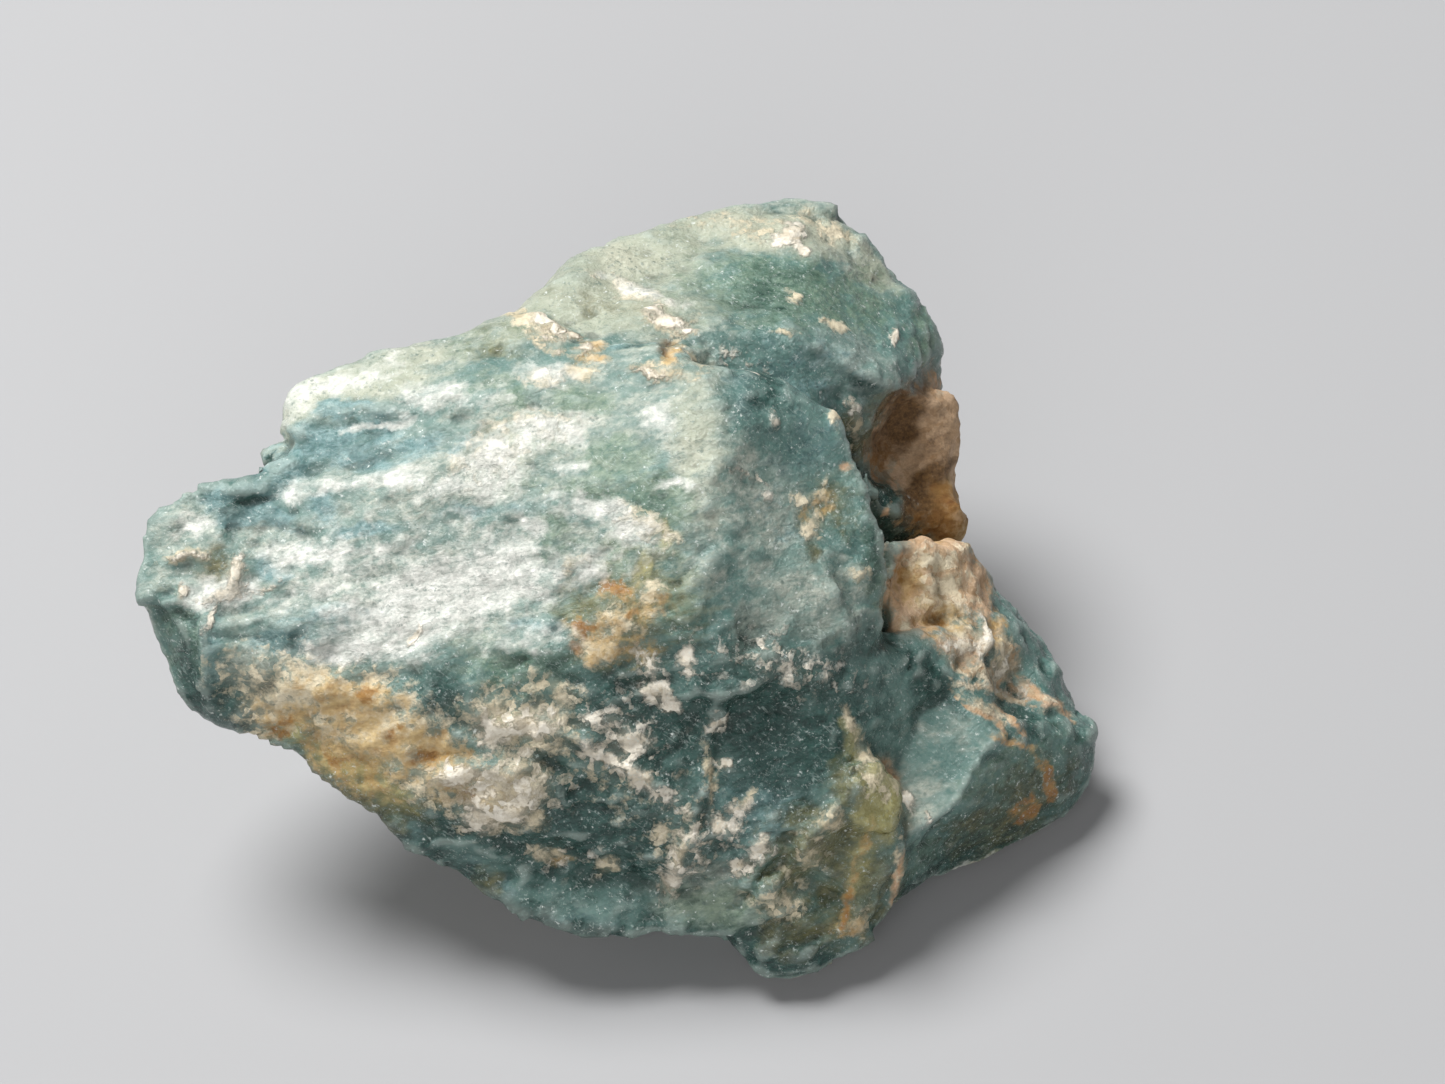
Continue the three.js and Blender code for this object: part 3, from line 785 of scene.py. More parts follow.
# %% Glassy breaks
GLASSY = [
    (2.4, 2.4, 2.3, 3.2, -10, 1.0),
    (-7.5, 1.0, 6.0, 3.0, 10, 0.62),
    (-2.5, 3.0, 2.2, 2.6, 0, 0.75),
    (-8.5, -2.0, 3.5, 1.4, 10, 0.6),
    (2.0, -1.2, 1.8, 1.2, 0, 1.0),
    (6.8, -6.2, 2.0, 1.3, 35, 1.1),
    (9.0, -8.0, 2.2, 1.0, 35, 0.9),
    (-10.3, 4.9, 2.2, 0.7, 20, 1.0),
    (2.5, 7.4, 3.4, 1.8, -20, 0.8),
    (1.9, -6.2, 1.5, 1.1, 0, 0.9),
    (0.0, -11.1, 1.6, 0.5, -5, 0.9),
    (-15.8, -3.4, 0.8, 1.4, 10, 0.9),
    (4.5, -7.6, 0.5, 0.6, 0, 0.9),
]
lay("glassy", GLASSY, behind=0.5, size=4.5, seed=21)

# %% [markdown]
# ## Relief
#
# A broken mineral is made of flat faces at slightly different tilts, with small steps where one
# meets the next. The relief is made in the order that nature makes it: large breaks first, then
# ledges and swellings, then chips, then grit and crust.

# %% Flat breaks
# Each row: a patch without its strength, the way its face leans, and how deep it is cut.
FLAT_BREAKS = [
    (7.1, -6.2, 2.2, 1.6, 40, 0.12, 0.10, 0.38),
    (8.3, -8.5, 2.4, 1.4, 38, 0.95, -1.10, 0.42),
    (-16.0, -3.3, 0.9, 1.6, 10, -1.0, -0.55, 0.25),
    (1.7, -6.4, 1.7, 1.4, 0, 0.12, -0.15, 0.25),
    (-3.2, -9.3, 2.3, 1.3, -15, -0.2, -1.25, 0.25),
    (-7.7, -8.9, 2.0, 0.8, -35, -0.45, -1.15, 0.20),
    (2.9, -9.9, 1.0, 1.0, 0, -0.25, -0.95, 0.15),
    (4.9, -9.8, 0.6, 1.2, 0, 0.9, -0.6, 0.20),
    (-0.2, -10.9, 1.6, 0.5, -5, 0.0, -0.6, 0.15),
    (-2.6, -5.4, 1.6, 1.2, -25, 0.25, -0.25, 0.20),
    (-11.3, 2.9, 1.5, 0.7, 15, -0.1, 0.05, 0.15),
]
SHARP_INSIDE = 3.0


def flatten(right, up, wide, tall, turn, lean_right, lean_up, depth):
    """Plane off what stands proud of a face that is depth mm below the stone at its middle."""
    middle = np.array((right, up, depth_at(right, up) + depth))
    facing = np.array((lean_right, lean_up, -1))
    facing /= np.linalg.norm(facing)
    inside = patch_field([(right, up, wide, tall, turn, 1.0)])
    inside = np.clip(SHARP_INSIDE * inside - 0.5, 0, 1)
    proud = np.clip((places - middle) @ facing, 0, 3 * depth) * inside
    return np.outer(proud, facing)


for flat_break in FLAT_BREAKS:
    places -= flatten(*flat_break)
print("planed off, mm, at most:", round(float(np.abs(places - before).max()), 2))

# %% [markdown]
# ### Seams, ledges and swellings
#
# The solid is joined from blocks, and some joints show as seams where the real stone runs on, so
# they are smoothed away. Ledges are lines with a step on one side that dies out with distance.
# Swellings and hollows are soft bells.

# %% Healed seams
HEALED = [
    (-4.4, 6.2, 3.0, 0.8, -3, 1.0),
    (-0.6, 6.1, 2.4, 0.7, -12, 0.8),
    (2.6, 5.0, 1.4, 0.6, -25, 0.6),
    (6.6, 0.6, 0.7, 0.7, 0, 1.1),
    (4.7, -4.6, 0.8, 1.3, 0, 0.9),
    (-6.2, 6.9, 1.4, 0.8, 30, 0.9),
    (7.4, 2.2, 0.4, 1.2, 0, 0.6),
    (-13.6, 1.9, 0.7, 0.7, 0, 1.0),
    (-13.4, 2.5, 0.6, 0.6, 0, 1.3),
]
HEALING_REACH = 1.0
share = np.clip(2 * patch_field(HEALED) - 0.2, 0, 1)[:, None]
for _ in range(round(4 * (HEALING_REACH * MM / VOXEL) ** 2)):
    around = [over_neighbours(places[far, axis], places[near, axis]) for axis in range(3)]
    places += 0.5 * share * (np.column_stack(around) / neighbours[:, None] - places)
print("planed or healed, mm, at most:", round(float(np.abs(places - before).max()), 2))

# %% Ledges
# Each row: the points of the line, how far the step reaches, and how high it is, in mm.
LEDGES = [
    ([(3.8, -6.9), (2.9, -8.0), (2.3, -8.8), (1.6, -9.8), (0.7, -10.7)], 1.2, 0.38),
    ([(4.9, -10.5), (5.3, -9.6), (5.4, -8.6), (5.2, -7.2), (4.8, -6.6)], 0.8, 0.3),
    ([(0.5, -11.6), (1.4, -11.3), (2.3, -10.9)], 0.7, 0.3),
    ([(-13.7, 2.2), (-12.5, 3.05), (-11.7, 3.7), (-9.8, 3.85)], 0.5, 0.1),
    ([(-16.9, -1.9), (-15.6, -2.0), (-15.3, -2.6), (-15.5, -4.4), (-15.1, -5.2)], 1.0, 0.3),
    ([(-4.2, -5.9), (-3.0, -6.7), (-2.0, -7.2)], 0.7, 0.2),
    ([(-2.2, -3.9), (-1.8, -4.6), (-0.6, -4.6), (0.6, -4.5)], 0.6, 0.18),
    ([(-0.7, -8.0), (-0.5, -7.4), (-0.2, -5.5), (0.2, -5.0)], 0.8, 0.22),
    ([(-1.1, -8.6), (-1.3, -9.2), (-1.7, -10.7), (-1.8, -11.4)], 0.8, 0.2),
    ([(0.1, -9.0), (1.4, -9.1), (0.7, -10.0)], 0.5, 0.12),
    ([(-8.3, -6.3), (-6.6, -6.3), (-4.7, -6.9), (-4.5, -7.7)], 0.9, -0.2),
    ([(7.3, -3.3), (8.1, -4.7), (8.9, -5.9)], 0.5, 0.2),
    ([(8.3, -3.6), (9.2, -4.6), (10.2, -5.2)], 0.5, 0.16),
    ([(-10.2, -2.3), (-9.4, -2.9), (-8.6, -2.5)], 0.5, 0.12),
    ([(0.3, 2.2), (1.7, 1.0), (2.2, 0.2)], 0.6, 0.08),
    ([(6.1, -8.9), (7.2, -7.6), (8.4, -6.2), (8.9, -5.7)], 0.6, 0.14),
]


def beside(line):
    """How far each point is from a line drawn on the stone, in mm, and on which side, -1 or 1."""
    apart = np.full(count, np.inf)
    side = np.ones(count)
    for (right, up), (next_right, next_up) in zip(line, line[1:]):
        start = np.array((right, up, depth_at(right, up)))
        reach = np.array((next_right, next_up, depth_at(next_right, next_up))) - start
        share = np.clip((wavy - start) @ reach / (reach @ reach), 0, 1)
        offset = wavy - start - np.outer(share, reach)
        distance = np.linalg.norm(offset, axis=1)
        left = np.sign(reach[0] * offset[:, 1] - reach[1] * offset[:, 0])
        side = np.where(distance < apart, left, side)
        apart = np.minimum(apart, distance)
    return apart, side


wavy = places.copy()
wavy[:, :2] += 0.2 * np.column_stack(drift)
ledges = np.zeros(count)
for line, width, height in LEDGES:
    apart, side = beside(line)
    ledges += height * np.clip(1 - apart / width, 0, 1) * np.where(side > 0, 1, -0.35)
print("ledges, mm: from", round(ledges.min(), 2), "to", round(ledges.max(), 2))

# %% Swellings and hollows
# Each row: a patch whose last number is a height in mm, below 0 for a hollow.
SWELLINGS = [
    (-8.4, -9.1, 2.4, 0.8, -38, 0.34),
    (-5.4, -10.9, 1.6, 0.7, -22, 0.22),
    (3.3, -12.5, 0.9, 0.5, 20, -0.3),
    (-14.6, -5.2, 0.9, 0.5, -15, 0.35),
    (-5.6, 7.3, 1.4, 0.8, 38, 0.3),
    (-3.0, 8.9, 1.8, 0.6, 22, 0.2),
    (-13.3, 2.3, 0.5, 0.5, 0, 0.15),
    (-12.7, 4.3, 0.8, 0.7, 40, 0.15),
    (6.5, 0.3, 0.6, 0.45, 0, 0.45),
    (7.0, 0.6, 0.5, 0.5, 0, 0.5),
    (6.9, 0.95, 0.4, 0.5, 0, 0.45),
    (6.75, 0.5, 0.45, 0.5, 0, 0.6),
    (4.7, -7.6, 0.62, 0.7, 0, 0.4),
    (-6.3, -7.2, 1.6, 1.0, 0, 0.2),
    (-10.8, -5.6, 3.2, 1.0, -25, 0.2),
    (-9.15, -2.55, 0.26, 0.22, 0, -0.4),
    (-1.6, 5.85, 0.28, 0.22, 0, -0.3),
    (6.5, -2.35, 0.5, 0.24, 0, -0.4),
    (5.7, -1.0, 0.4, 0.8, 0, -0.25),
    (7.1, -1.2, 0.4, 0.9, 10, 0.22),
    (7.75, -3.0, 0.16, 0.6, -4, 0.3),
    (3.9, -1.0, 0.3, 0.28, 0, 0.15),
    (-14.45, -1.2, 0.35, 0.45, -14, 0.18),
    (5.35, 3.4, 0.5, 1.1, -20, -0.3),
    (-13.4, 3.5, 0.5, 0.6, 0, -0.6),
    (-13.35, 2.3, 0.6, 0.6, 0, 0.5),
    (-14.0, 1.7, 0.5, 0.35, 15, 0.4),
]
swellings = np.zeros(count)
for right, up, wide, tall, turn, height in SWELLINGS:
    bell = patch_field([(right, up, wide, tall, turn, 1.0)])
    swellings += height * bell * bell * (3 - 2 * bell)
print("swellings, mm: from", round(swellings.min(), 2), "to", round(swellings.max(), 2))

# %% [markdown]
# ### Chips and crumbs
#
# The crystal breaks along its grain, so its chips are longer that way. Each chip is a cell of a
# Voronoi pattern with a small flat face of its own tilt. Crust stands proud as crumbs of the same
# kind, and host rock is lumpy.

# %% Grain direction
GRAIN_TURN = math.radians(15)
GRAIN_STRETCH = 1.5
grain_axis = np.array([math.cos(GRAIN_TURN), math.sin(GRAIN_TURN), 0])
along_grain = places @ grain_axis
squeezed = places - np.outer(along_grain, grain_axis) * (1 - 1 / GRAIN_STRETCH)
print("grain, degrees up from level:", round(math.degrees(GRAIN_TURN)))


# %% Tipped chips
def chips(size, seed):
    """Height in parts of size: each irregular cell is a small flat face that tips its own way."""
    heights = np.empty(count)
    shift = Vector((seed * 1.7, seed * 2.3, seed * 3.9))
    for index, place in enumerate(squeezed):
        spot = Vector(place) / size + shift
        centre = noise.voronoi(spot)[1][0]
        tip = noise.cell_vector(centre * 9.7)
        tip = Vector(tip) - Vector((0.5, 0.5, 0.5))
        heights[index] = tip.dot(spot - centre)
    return heights


COARSE_CHIP = 1.7
COARSE_TILT = 0.24
FINE_CHIP = 0.75
FINE_TILT = 0.42
LOWEST_CHIP = -0.28
HIGHEST_CHIP = 0.14
rough = 1 - 0.9 * np.clip(1.8 * fields["glassy"] - 0.3, 0, 1)
relief = COARSE_TILT * COARSE_CHIP * chips(COARSE_CHIP, 1) * rough
relief += FINE_TILT * FINE_CHIP * chips(FINE_CHIP, 2) * rough
relief = np.clip(relief, LOWEST_CHIP, HIGHEST_CHIP)
print("chips, mm: from", round(relief.min(), 2), "to", round(relief.max(), 2))


# %% Grit, pits and crusts
def firm(name):
    """Where a mineral lies, 0 to 1, with a firmer edge than its field has."""
    return np.clip(fields[name] * 2 - 0.6, 0, 1)


GRIT_HEIGHT = 0.06
CRUST_HEIGHT = 0.09
CREAM_HEIGHT = 0.05
PINK_HEIGHT = 0.11
PIT_DEPTH = 0.21
CRUMB = 0.55
CRUMB_TILT = 0.35
relief += GRIT_HEIGHT * noise_field(0.7, 31, 3, squeezed) * rough
relief += CRUST_HEIGHT * firm("crust") * (1 + 1.4 * noise_field(0.45, 32, 3))
relief += CREAM_HEIGHT * firm("cream") * (1 + noise_field(0.5, 33, 3))
relief += CRUMB_TILT * CRUMB * chips(CRUMB, 3) * firm("crust")
relief += PINK_HEIGHT * firm("pink") * noise_field(0.6, 34, 3)
relief -= PIT_DEPTH * np.clip(noise_field(0.9, 35, 2) - 0.55, 0, 1) * rough
relief = calmed(relief) + calmed(ledges) + swellings
print("relief in all, mm: from", round(relief.min(), 2), "to", round(relief.max(), 2))

# %% [markdown]
# ### Moving the points
#
# Everything so far is a height along the normal, apart from the flat breaks and seams, which have
# moved the places themselves. Both are now put on the mesh. They fade out just above the resting
# face, so that the stone still lies flat.

# %% Move the points
REST_BAND = 0.35
RESTING = 0.03
heights = points[:, 2] / MM
settle = np.clip(heights / REST_BAND, 0, 1)[:, None]
cut = (places - before) @ np.array([RIGHT, UP, BACK]) * MM
points += (cut + normals * relief[:, None] * MM) * settle
points[:, 2] = np.maximum(points[:, 2], 0)
points[heights < RESTING, 2] = 0
skin.vertices.foreach_set("co", points.ravel())
skin.update()
print("points on the resting face:", int((points[:, 2] == 0).sum()))

# %% Worn edges, painted edge highlight and painted shade in hollows, from how the skin bends
normals = read_points("normal")
step = points[far] - points[near]
turn = ((normals[far] - normals[near]) * step).sum(1) / (step**2).sum(1) * MM
bend = calmed(over_neighbours(turn, turn) / neighbours, 2)
fields["edge"] = np.clip(0.5 + 0.3 * bend, 0, 1)
print("bend, per mm: from", round(bend.min(), 2), "to", round(bend.max(), 2))

# %% Keep the fields on the mesh, for the material to read
for name, field in fields.items():
    attribute = skin.attributes.new(name, "FLOAT", "POINT")
    attribute.data.foreach_set("value", field.astype(np.float32))
print("fields on the mesh:", ", ".join(fields))

# %% [markdown]
# ## Material
#
# Each field is now an attribute on the mesh. One node group does the work that every mineral
# shares: it turns a soft field into a ragged mask, and paints the mineral through that mask in two
# tones. It is placed once for each mineral, with its own grain, tones and softness.

# %% Node helpers
def new_group(name, inputs, outputs):
    group = bpy.data.node_groups.new(name, "ShaderNodeTree")
    for socket_name, kind, value in inputs:
        socket = group.interface.new_socket(socket_name, in_out="INPUT", socket_type=kind)
        socket.default_value = value
    for socket_name, kind in outputs:
        group.interface.new_socket(socket_name, in_out="OUTPUT", socket_type=kind)
    return group, group.nodes.new("NodeGroupInput"), group.nodes.new("NodeGroupOutput")


def math_node(tree, operation, first, second):
    node = tree.nodes.new("ShaderNodeMath")
    node.operation = operation
    for socket, value in zip(node.inputs, (first, second)):
        if isinstance(value, (int, float)):
            socket.default_value = value
        else:
            tree.links.new(value, socket)
    return node.outputs["Value"]


def ramp(tree, value, lowest, highest):
    node = tree.nodes.new("ShaderNodeMapRange")
    node.interpolation_type = "SMOOTHSTEP"
    tree.links.new(value, node.inputs["Value"])
    for socket, limit in (("From Min", lowest), ("From Max", highest)):
        if isinstance(limit, (int, float)):
            node.inputs[socket].default_value = limit
        else:
            tree.links.new(limit, node.inputs[socket])
    return node.outputs["Result"]


def mix_colours(tree, factor, under, over):
    node = tree.nodes.new("ShaderNodeMix")
    node.data_type = "RGBA"
    for socket, value in zip(
        (node.inputs[0], node.inputs[6], node.inputs[7]), (factor, under, over)
    ):
        if isinstance(value, (int, float, tuple)):
            socket.default_value = value
        else:
            tree.links.new(value, socket)
    return node.outputs[2]


# %% The mineral group
mineral, given, result = new_group(
    "mineral_layer",
    [
        ("Under", "NodeSocketColor", (0.1, 0.2, 0.2, 1)),
        ("Amount", "NodeSocketFloat", 0.0),
        ("Grain", "NodeSocketFloat", 0.5),
        ("Raggedness", "NodeSocketFloat", 1.0),
        ("Softness", "NodeSocketFloat", 0.15),
        ("Cover", "NodeSocketFloat", 1.0),
        ("Veil", "NodeSocketFloat", 0.3),
        ("Tone", "NodeSocketFloat", 0.5),
        ("Dark", "NodeSocketColor", (0.2, 0.2, 0.2, 1)),
        ("Light", "NodeSocketColor", (0.8, 0.8, 0.8, 1)),
    ],
    [("Colour", "NodeSocketColor"), ("Mask", "NodeSocketFloat")],
)
print("the mineral group takes", len(given.outputs) - 1, "inputs")

# %% Its ragged mask and its two tones
swing = math_node(mineral, "MULTIPLY", given.outputs["Grain"], given.outputs["Raggedness"])
level = math_node(mineral, "ADD", given.outputs["Amount"], swing)
half = math_node(mineral, "MULTIPLY", given.outputs["Raggedness"], 0.5)
middle = math_node(mineral, "ADD", half, 0.5)
softness = given.outputs["Softness"]
ragged_mask = ramp(
    mineral,
    level,
    math_node(mineral, "SUBTRACT", middle, softness),
    math_node(mineral, "ADD", middle, softness),
)
present = ramp(mineral, given.outputs["Amount"], 0.04, 0.3)
ragged_mask = math_node(mineral, "MULTIPLY", ragged_mask, present)
ragged_mask = math_node(mineral, "MULTIPLY", ragged_mask, given.outputs["Cover"])
veil = ramp(mineral, given.outputs["Amount"], 0.2, 1.0)
veil = math_node(mineral, "MULTIPLY", veil, given.outputs["Veil"])
mask = math_node(mineral, "MAXIMUM", ragged_mask, veil)
tone = mix_colours(
    mineral, given.outputs["Tone"], given.outputs["Dark"], given.outputs["Light"]
)
mineral.links.new(
    mix_colours(mineral, mask, given.outputs["Under"], tone), result.inputs["Colour"]
)
mineral.links.new(mask, result.inputs["Mask"])
print("node groups:", [group.name for group in bpy.data.node_groups])

# %% [markdown]
# ## Patterns in the stone
#
# Every mineral takes its ragged edge and its tone from a few shared patterns: slow clouds, mottle
# drawn out along the grain, frost, crumbs and grit, and angular grains from Voronoi cells. They
# read Object coordinates in millimetres, so their scale is a number of waves to a millimetre.

# %% The material and its coordinates
material = bpy.data.materials.new("grandidierite")
material.use_nodes = True
tree = material.node_tree
nodes = tree.nodes
links = tree.links
shader = nodes["Principled BSDF"]
place = nodes.new("ShaderNodeTexCoord")


def times(first, second):
    return math_node(tree, "MULTIPLY", first, second)


def larger(first, second):
    return math_node(tree, "MAXIMUM", first, second)


def turned(rotation, scale, source=None, kind="POINT"):
    node = nodes.new("ShaderNodeMapping")
    node.vector_type = kind
    node.inputs["Rotation"].default_value = rotation
    node.inputs["Scale"].default_value = scale
    links.new(source or place.outputs["Object"], node.inputs["Vector"])
    return node.outputs["Vector"]


in_mm = turned((SHOW_LEAN - math.pi / 2, 0, 0), (1 / MM, 1 / MM, 1 / MM))
with_grain = turned((0, 0, GRAIN_TURN), (1.5, 0.85, 1.1), in_mm, "TEXTURE")
across_grain = turned((0, 0, math.radians(-38)), (2.2, 0.7, 1.1), in_mm, "TEXTURE")
streaky = turned((0, 0, GRAIN_TURN), (2.6, 0.6, 1.1), in_mm, "TEXTURE")
print("nodes for the coordinates:", len(nodes))


# %% Noise patterns
def pattern(vector, scale, detail, roughness=0.55, distortion=0.0, lowest=0.3, highest=0.7):
    """Fractal noise, stretched to run from 0 to 1."""
    node = nodes.new("ShaderNodeTexNoise")
    links.new(vector, node.inputs["Vector"])
    node.inputs["Scale"].default_value = scale
    node.inputs["Detail"].default_value = detail
    node.inputs["Roughness"].default_value = roughness
    node.inputs["Distortion"].default_value = distortion
    stretch = nodes.new("ShaderNodeMapRange")
    stretch.inputs["From Min"].default_value = lowest
    stretch.inputs["From Max"].default_value = highest
    links.new(node.outputs["Fac"], stretch.inputs["Value"])
    return stretch.outputs["Result"]


clouds = pattern(in_mm, 0.45, 5)
mottle = pattern(with_grain, 1.9, 7, 0.62, 0.3)
crumbs = pattern(in_mm, 2.7, 6, 0.6, 0.0, 0.35, 0.65)
frost = pattern(with_grain, 4.2, 6, 0.72, 0.4, 0.32, 0.68)
grit = pattern(in_mm, 6.5, 4, 0.65)
flecks = pattern(across_grain, 3.4, 6, 0.7, 0.3, 0.32, 0.68)
specks = pattern(in_mm, 8.5, 4, 0.7, 0.0, 0.36, 0.64)
print("nodes with the noise patterns:", len(nodes))


# %% Angular grains
def vector_node(operation, first, second):
    node = nodes.new("ShaderNodeVectorMath")
    node.operation = operation
    for socket, value in zip(node.inputs, (first, second)):
        if isinstance(value, tuple):
            socket.default_value = value
        else:
            links.new(value, socket)
    return node.outputs


def split_grains(scale, jagged):
    """One random value, 0 to 1, for each small angular grain, scale of them to a millimetre."""
    waver = nodes.new("ShaderNodeTexNoise")
    links.new(in_mm, waver.inputs["Vector"])
    waver.inputs["Scale"].default_value = scale
    sway = vector_node("MULTIPLY", waver.outputs["Color"], (jagged, jagged, jagged))["Vector"]
    cells = nodes.new("ShaderNodeTexVoronoi")
    links.new(vector_node("ADD", in_mm, sway)["Vector"], cells.inputs["Vector"])
    cells.inputs["Scale"].default_value = scale
    lot = nodes.new("ShaderNodeSeparateColor")
    links.new(cells.outputs["Color"], lot.inputs["Color"])
    return lot.outputs["Red"]


grains = split_grains(3.6, 0.3)
print("nodes with the grains:", len(nodes))

# %% Mixed patterns
patchy = mix_colours(tree, 0.5, mottle, crumbs)
stains = mix_colours(tree, 0.4, mix_colours(tree, 0.4, mottle, specks), grains)
rubble = mix_colours(tree, 0.4, mix_colours(tree, 0.25, crumbs, specks), grains)
print("nodes with the mixed patterns:", len(nodes))


# %% Hairlines
def hairlines(vector, scale, thickness, over):
    """Thin wandering lines, where a noise passes through its middle value."""
    away = math_node(tree, "SUBTRACT", pattern(vector, scale, 3), 0.5)
    away = math_node(tree, "ABSOLUTE", away, 0)
    return times(ramp(tree, away, thickness, 0), over)


LINE = 0.05
scratches = hairlines(across_grain, 1.4, LINE, ramp(tree, mottle, 0.45, 0.9))
fissures = hairlines(streaky, 1.1, LINE, ramp(tree, mottle, 0.6, 0.2))
print("nodes with the hairlines:", len(nodes))

# %% [markdown]
# ## The minerals, one over another
#
# The order is the order in time: the crystal first, then its worn edges and scratches, with
# painted highlight on the edges and painted shade in the hollows, then host rock and iron stain,
# then the bruises, and the loose white crust, with a few painted glints, last of all, before the
# specks of pepper and the painted glints and sparkle.

# %% Paint and tint
def amount(name):
    node = nodes.new("ShaderNodeAttribute")
    node.attribute_name = name
    return node.outputs["Fac"]


def tinted(under, mask, strength, over):
    """The colour under, with a plain colour laid over it by a share of a mask."""
    return mix_colours(tree, times(mask, strength), under, (*over, 1))


masks = {}


def paint(name, under, grain, tone, dark, light, raggedness, softness, cover, veil):
    node = nodes.new("ShaderNodeGroup")
    node.node_tree = mineral
    links.new(under, node.inputs["Under"])
    links.new(amount(name), node.inputs["Amount"])
    links.new(grain, node.inputs["Grain"])
    links.new(tone, node.inputs["Tone"])
    node.inputs["Raggedness"].default_value = raggedness
    node.inputs["Softness"].default_value = softness
    node.inputs["Cover"].default_value = cover
    node.inputs["Veil"].default_value = veil
    node.inputs["Dark"].default_value = (*dark, 1)
    node.inputs["Light"].default_value = (*light, 1)
    masks[name] = node.outputs["Mask"]
    return node.outputs["Colour"]


def paint_all(under, coats):
    """Paint several minerals, each over the one before it."""
    for name, coat in coats.items():
        under = paint(name, under, *coat)
    print("painted:", ", ".join(coats))
    return under


# %% Crystal
body = mix_colours(tree, clouds, (0.045, 0.125, 0.108, 1), (0.135, 0.25, 0.22, 1))
body = tinted(body, flecks, 0.3, (0.27, 0.36, 0.32))
# Each row: edge grain, tone grain, dark tone, light tone, raggedness, softness, cover, veil.
CRYSTAL = {
    "pale": (mottle, frost, (0.17, 0.25, 0.215), (0.56, 0.57, 0.48), 0.9, 0.4, 0.95, 0.55),
    "bloom": (mottle, clouds, (0.32, 0.36, 0.27), (0.56, 0.56, 0.43), 0.45, 0.4, 0.85, 0.6),
    "green": (mottle, frost, (0.065, 0.145, 0.095), (0.25, 0.34, 0.235), 0.9, 0.35, 0.75, 0.4),
    "blue": (mottle, frost, (0.075, 0.18, 0.18), (0.27, 0.42, 0.42), 0.9, 0.35, 0.9, 0.5),
    "deep": (mottle, frost, (0.001, 0.016, 0.012), (0.034, 0.1, 0.084), 0.6, 0.35, 0.95, 0.8),
}
colour = paint_all(body, CRYSTAL)

# %% Worn edges with painted highlight, painted shade in hollows, and scratches
# Paler where the skin bends outward: edge wear and painted highlight.
colour = tinted(colour, ramp(tree, amount("edge"), 0.6, 0.95), 0.4, (0.42, 0.50, 0.45))
# Darker where the skin bends inward: painted shade in the hollows.
colour = tinted(colour, ramp(tree, amount("edge"), 0.42, 0.1), 0.5, (0.01, 0.028, 0.022))
colour = tinted(colour, scratches, 0.35, (0.48, 0.58, 0.53))
print("nodes so far:", len(nodes))

# %% Films, host rock, stains and bruises
ROCK_AND_STAIN = {
    "olive": (mottle, frost, (0.04, 0.042, 0.014), (0.205, 0.19, 0.078), 0.8, 0.5, 0.85, 0.6),
    "honey": (mottle, stains, (0.24, 0.21, 0.05), (0.64, 0.60, 0.29), 0.6, 0.55, 0.85, 0.5),
    "pink": (crumbs, stains, (0.39, 0.22, 0.095), (0.86, 0.63, 0.43), 0.45, 0.25, 1.0, 0.95),
    "cream": (rubble, stains, (0.40, 0.32, 0.18), (0.94, 0.84, 0.63), 1.0, 0.28, 0.95, 0.45),
    "ochre": (crumbs, mottle, (0.33, 0.17, 0.04), (0.72, 0.53, 0.24), 0.9, 0.55, 0.85, 0.35),
    "rust": (crumbs, mottle, (0.17, 0.062, 0.012), (0.47, 0.235, 0.05), 0.9, 0.45, 0.85, 0.4),
    "umber_and_shade": (mottle, specks, (0.055, 0.024, 0.006), (0.21, 0.11, 0.036), 0.6, 0.5, 0.95, 0.6),
    "milk": (patchy, frost, (0.46, 0.49, 0.44), (0.98, 0.96, 0.89), 0.85, 0.42, 0.92, 0.35),
}
colour = paint_all(colour, ROCK_AND_STAIN)

# %% Dark specks and fissures in the white, then the crust and its painted glints
dust = larger(masks["pale"], masks["milk"])
dark_specks = times(ramp(tree, specks, 0.6, 0.95), dust)
dark_specks = times(dark_specks, ramp(tree, mottle, 0.75, 0.2))
colour = tinted(colour, dark_specks, 0.7, (0.13, 0.19, 0.165))
colour = tinted(colour, times(fissures, dust), 0.35, (0.13, 0.21, 0.18))
LOOSE = {
    "crust": (rubble, stains, (0.56, 0.47, 0.32), (1.0, 0.95, 0.84), 1.0, 0.22, 0.97, 0.35),
}
colour = paint_all(colour, LOOSE)


# %% Pepper, and painted glints and sparkle
def scattered(scale, size, share, over):
    """Small separate dots, each near the middle of its own cell, in some of the cells only."""
    cells = nodes.new("ShaderNodeTexVoronoi")
    links.new(in_mm, cells.inputs["Vector"])
    cells.inputs["Scale"].default_value = scale
    dot = nodes.new("ShaderNodeMapRange")
    dot.interpolation_type = "SMOOTHSTEP"
    links.new(cells.outputs["Distance"], dot.inputs["Value"])
    dot.inputs["From Min"].default_value = size
    dot.inputs["From Max"].default_value = size * 0.4
    lot = nodes.new("ShaderNodeSeparateColor")
    links.new(cells.outputs["Color"], lot.inputs["Color"])
    chosen = math_node(tree, "LESS_THAN", lot.outputs["Red"], share)
    return times(times(dot.outputs["Result"], chosen), over)


pepper = scattered(5.5, 0.42, 0.5, times(masks["pale"], ramp(tree, clouds, 0.35, 0.8)))
colour = tinted(colour, pepper, 0.6, (0.10, 0.15, 0.13))
crystal = math_node(tree, "SUBTRACT", 1, larger(masks["cream"], masks["pink"]))
clear = larger(math_node(tree, "SUBTRACT", crystal, dust), 0)
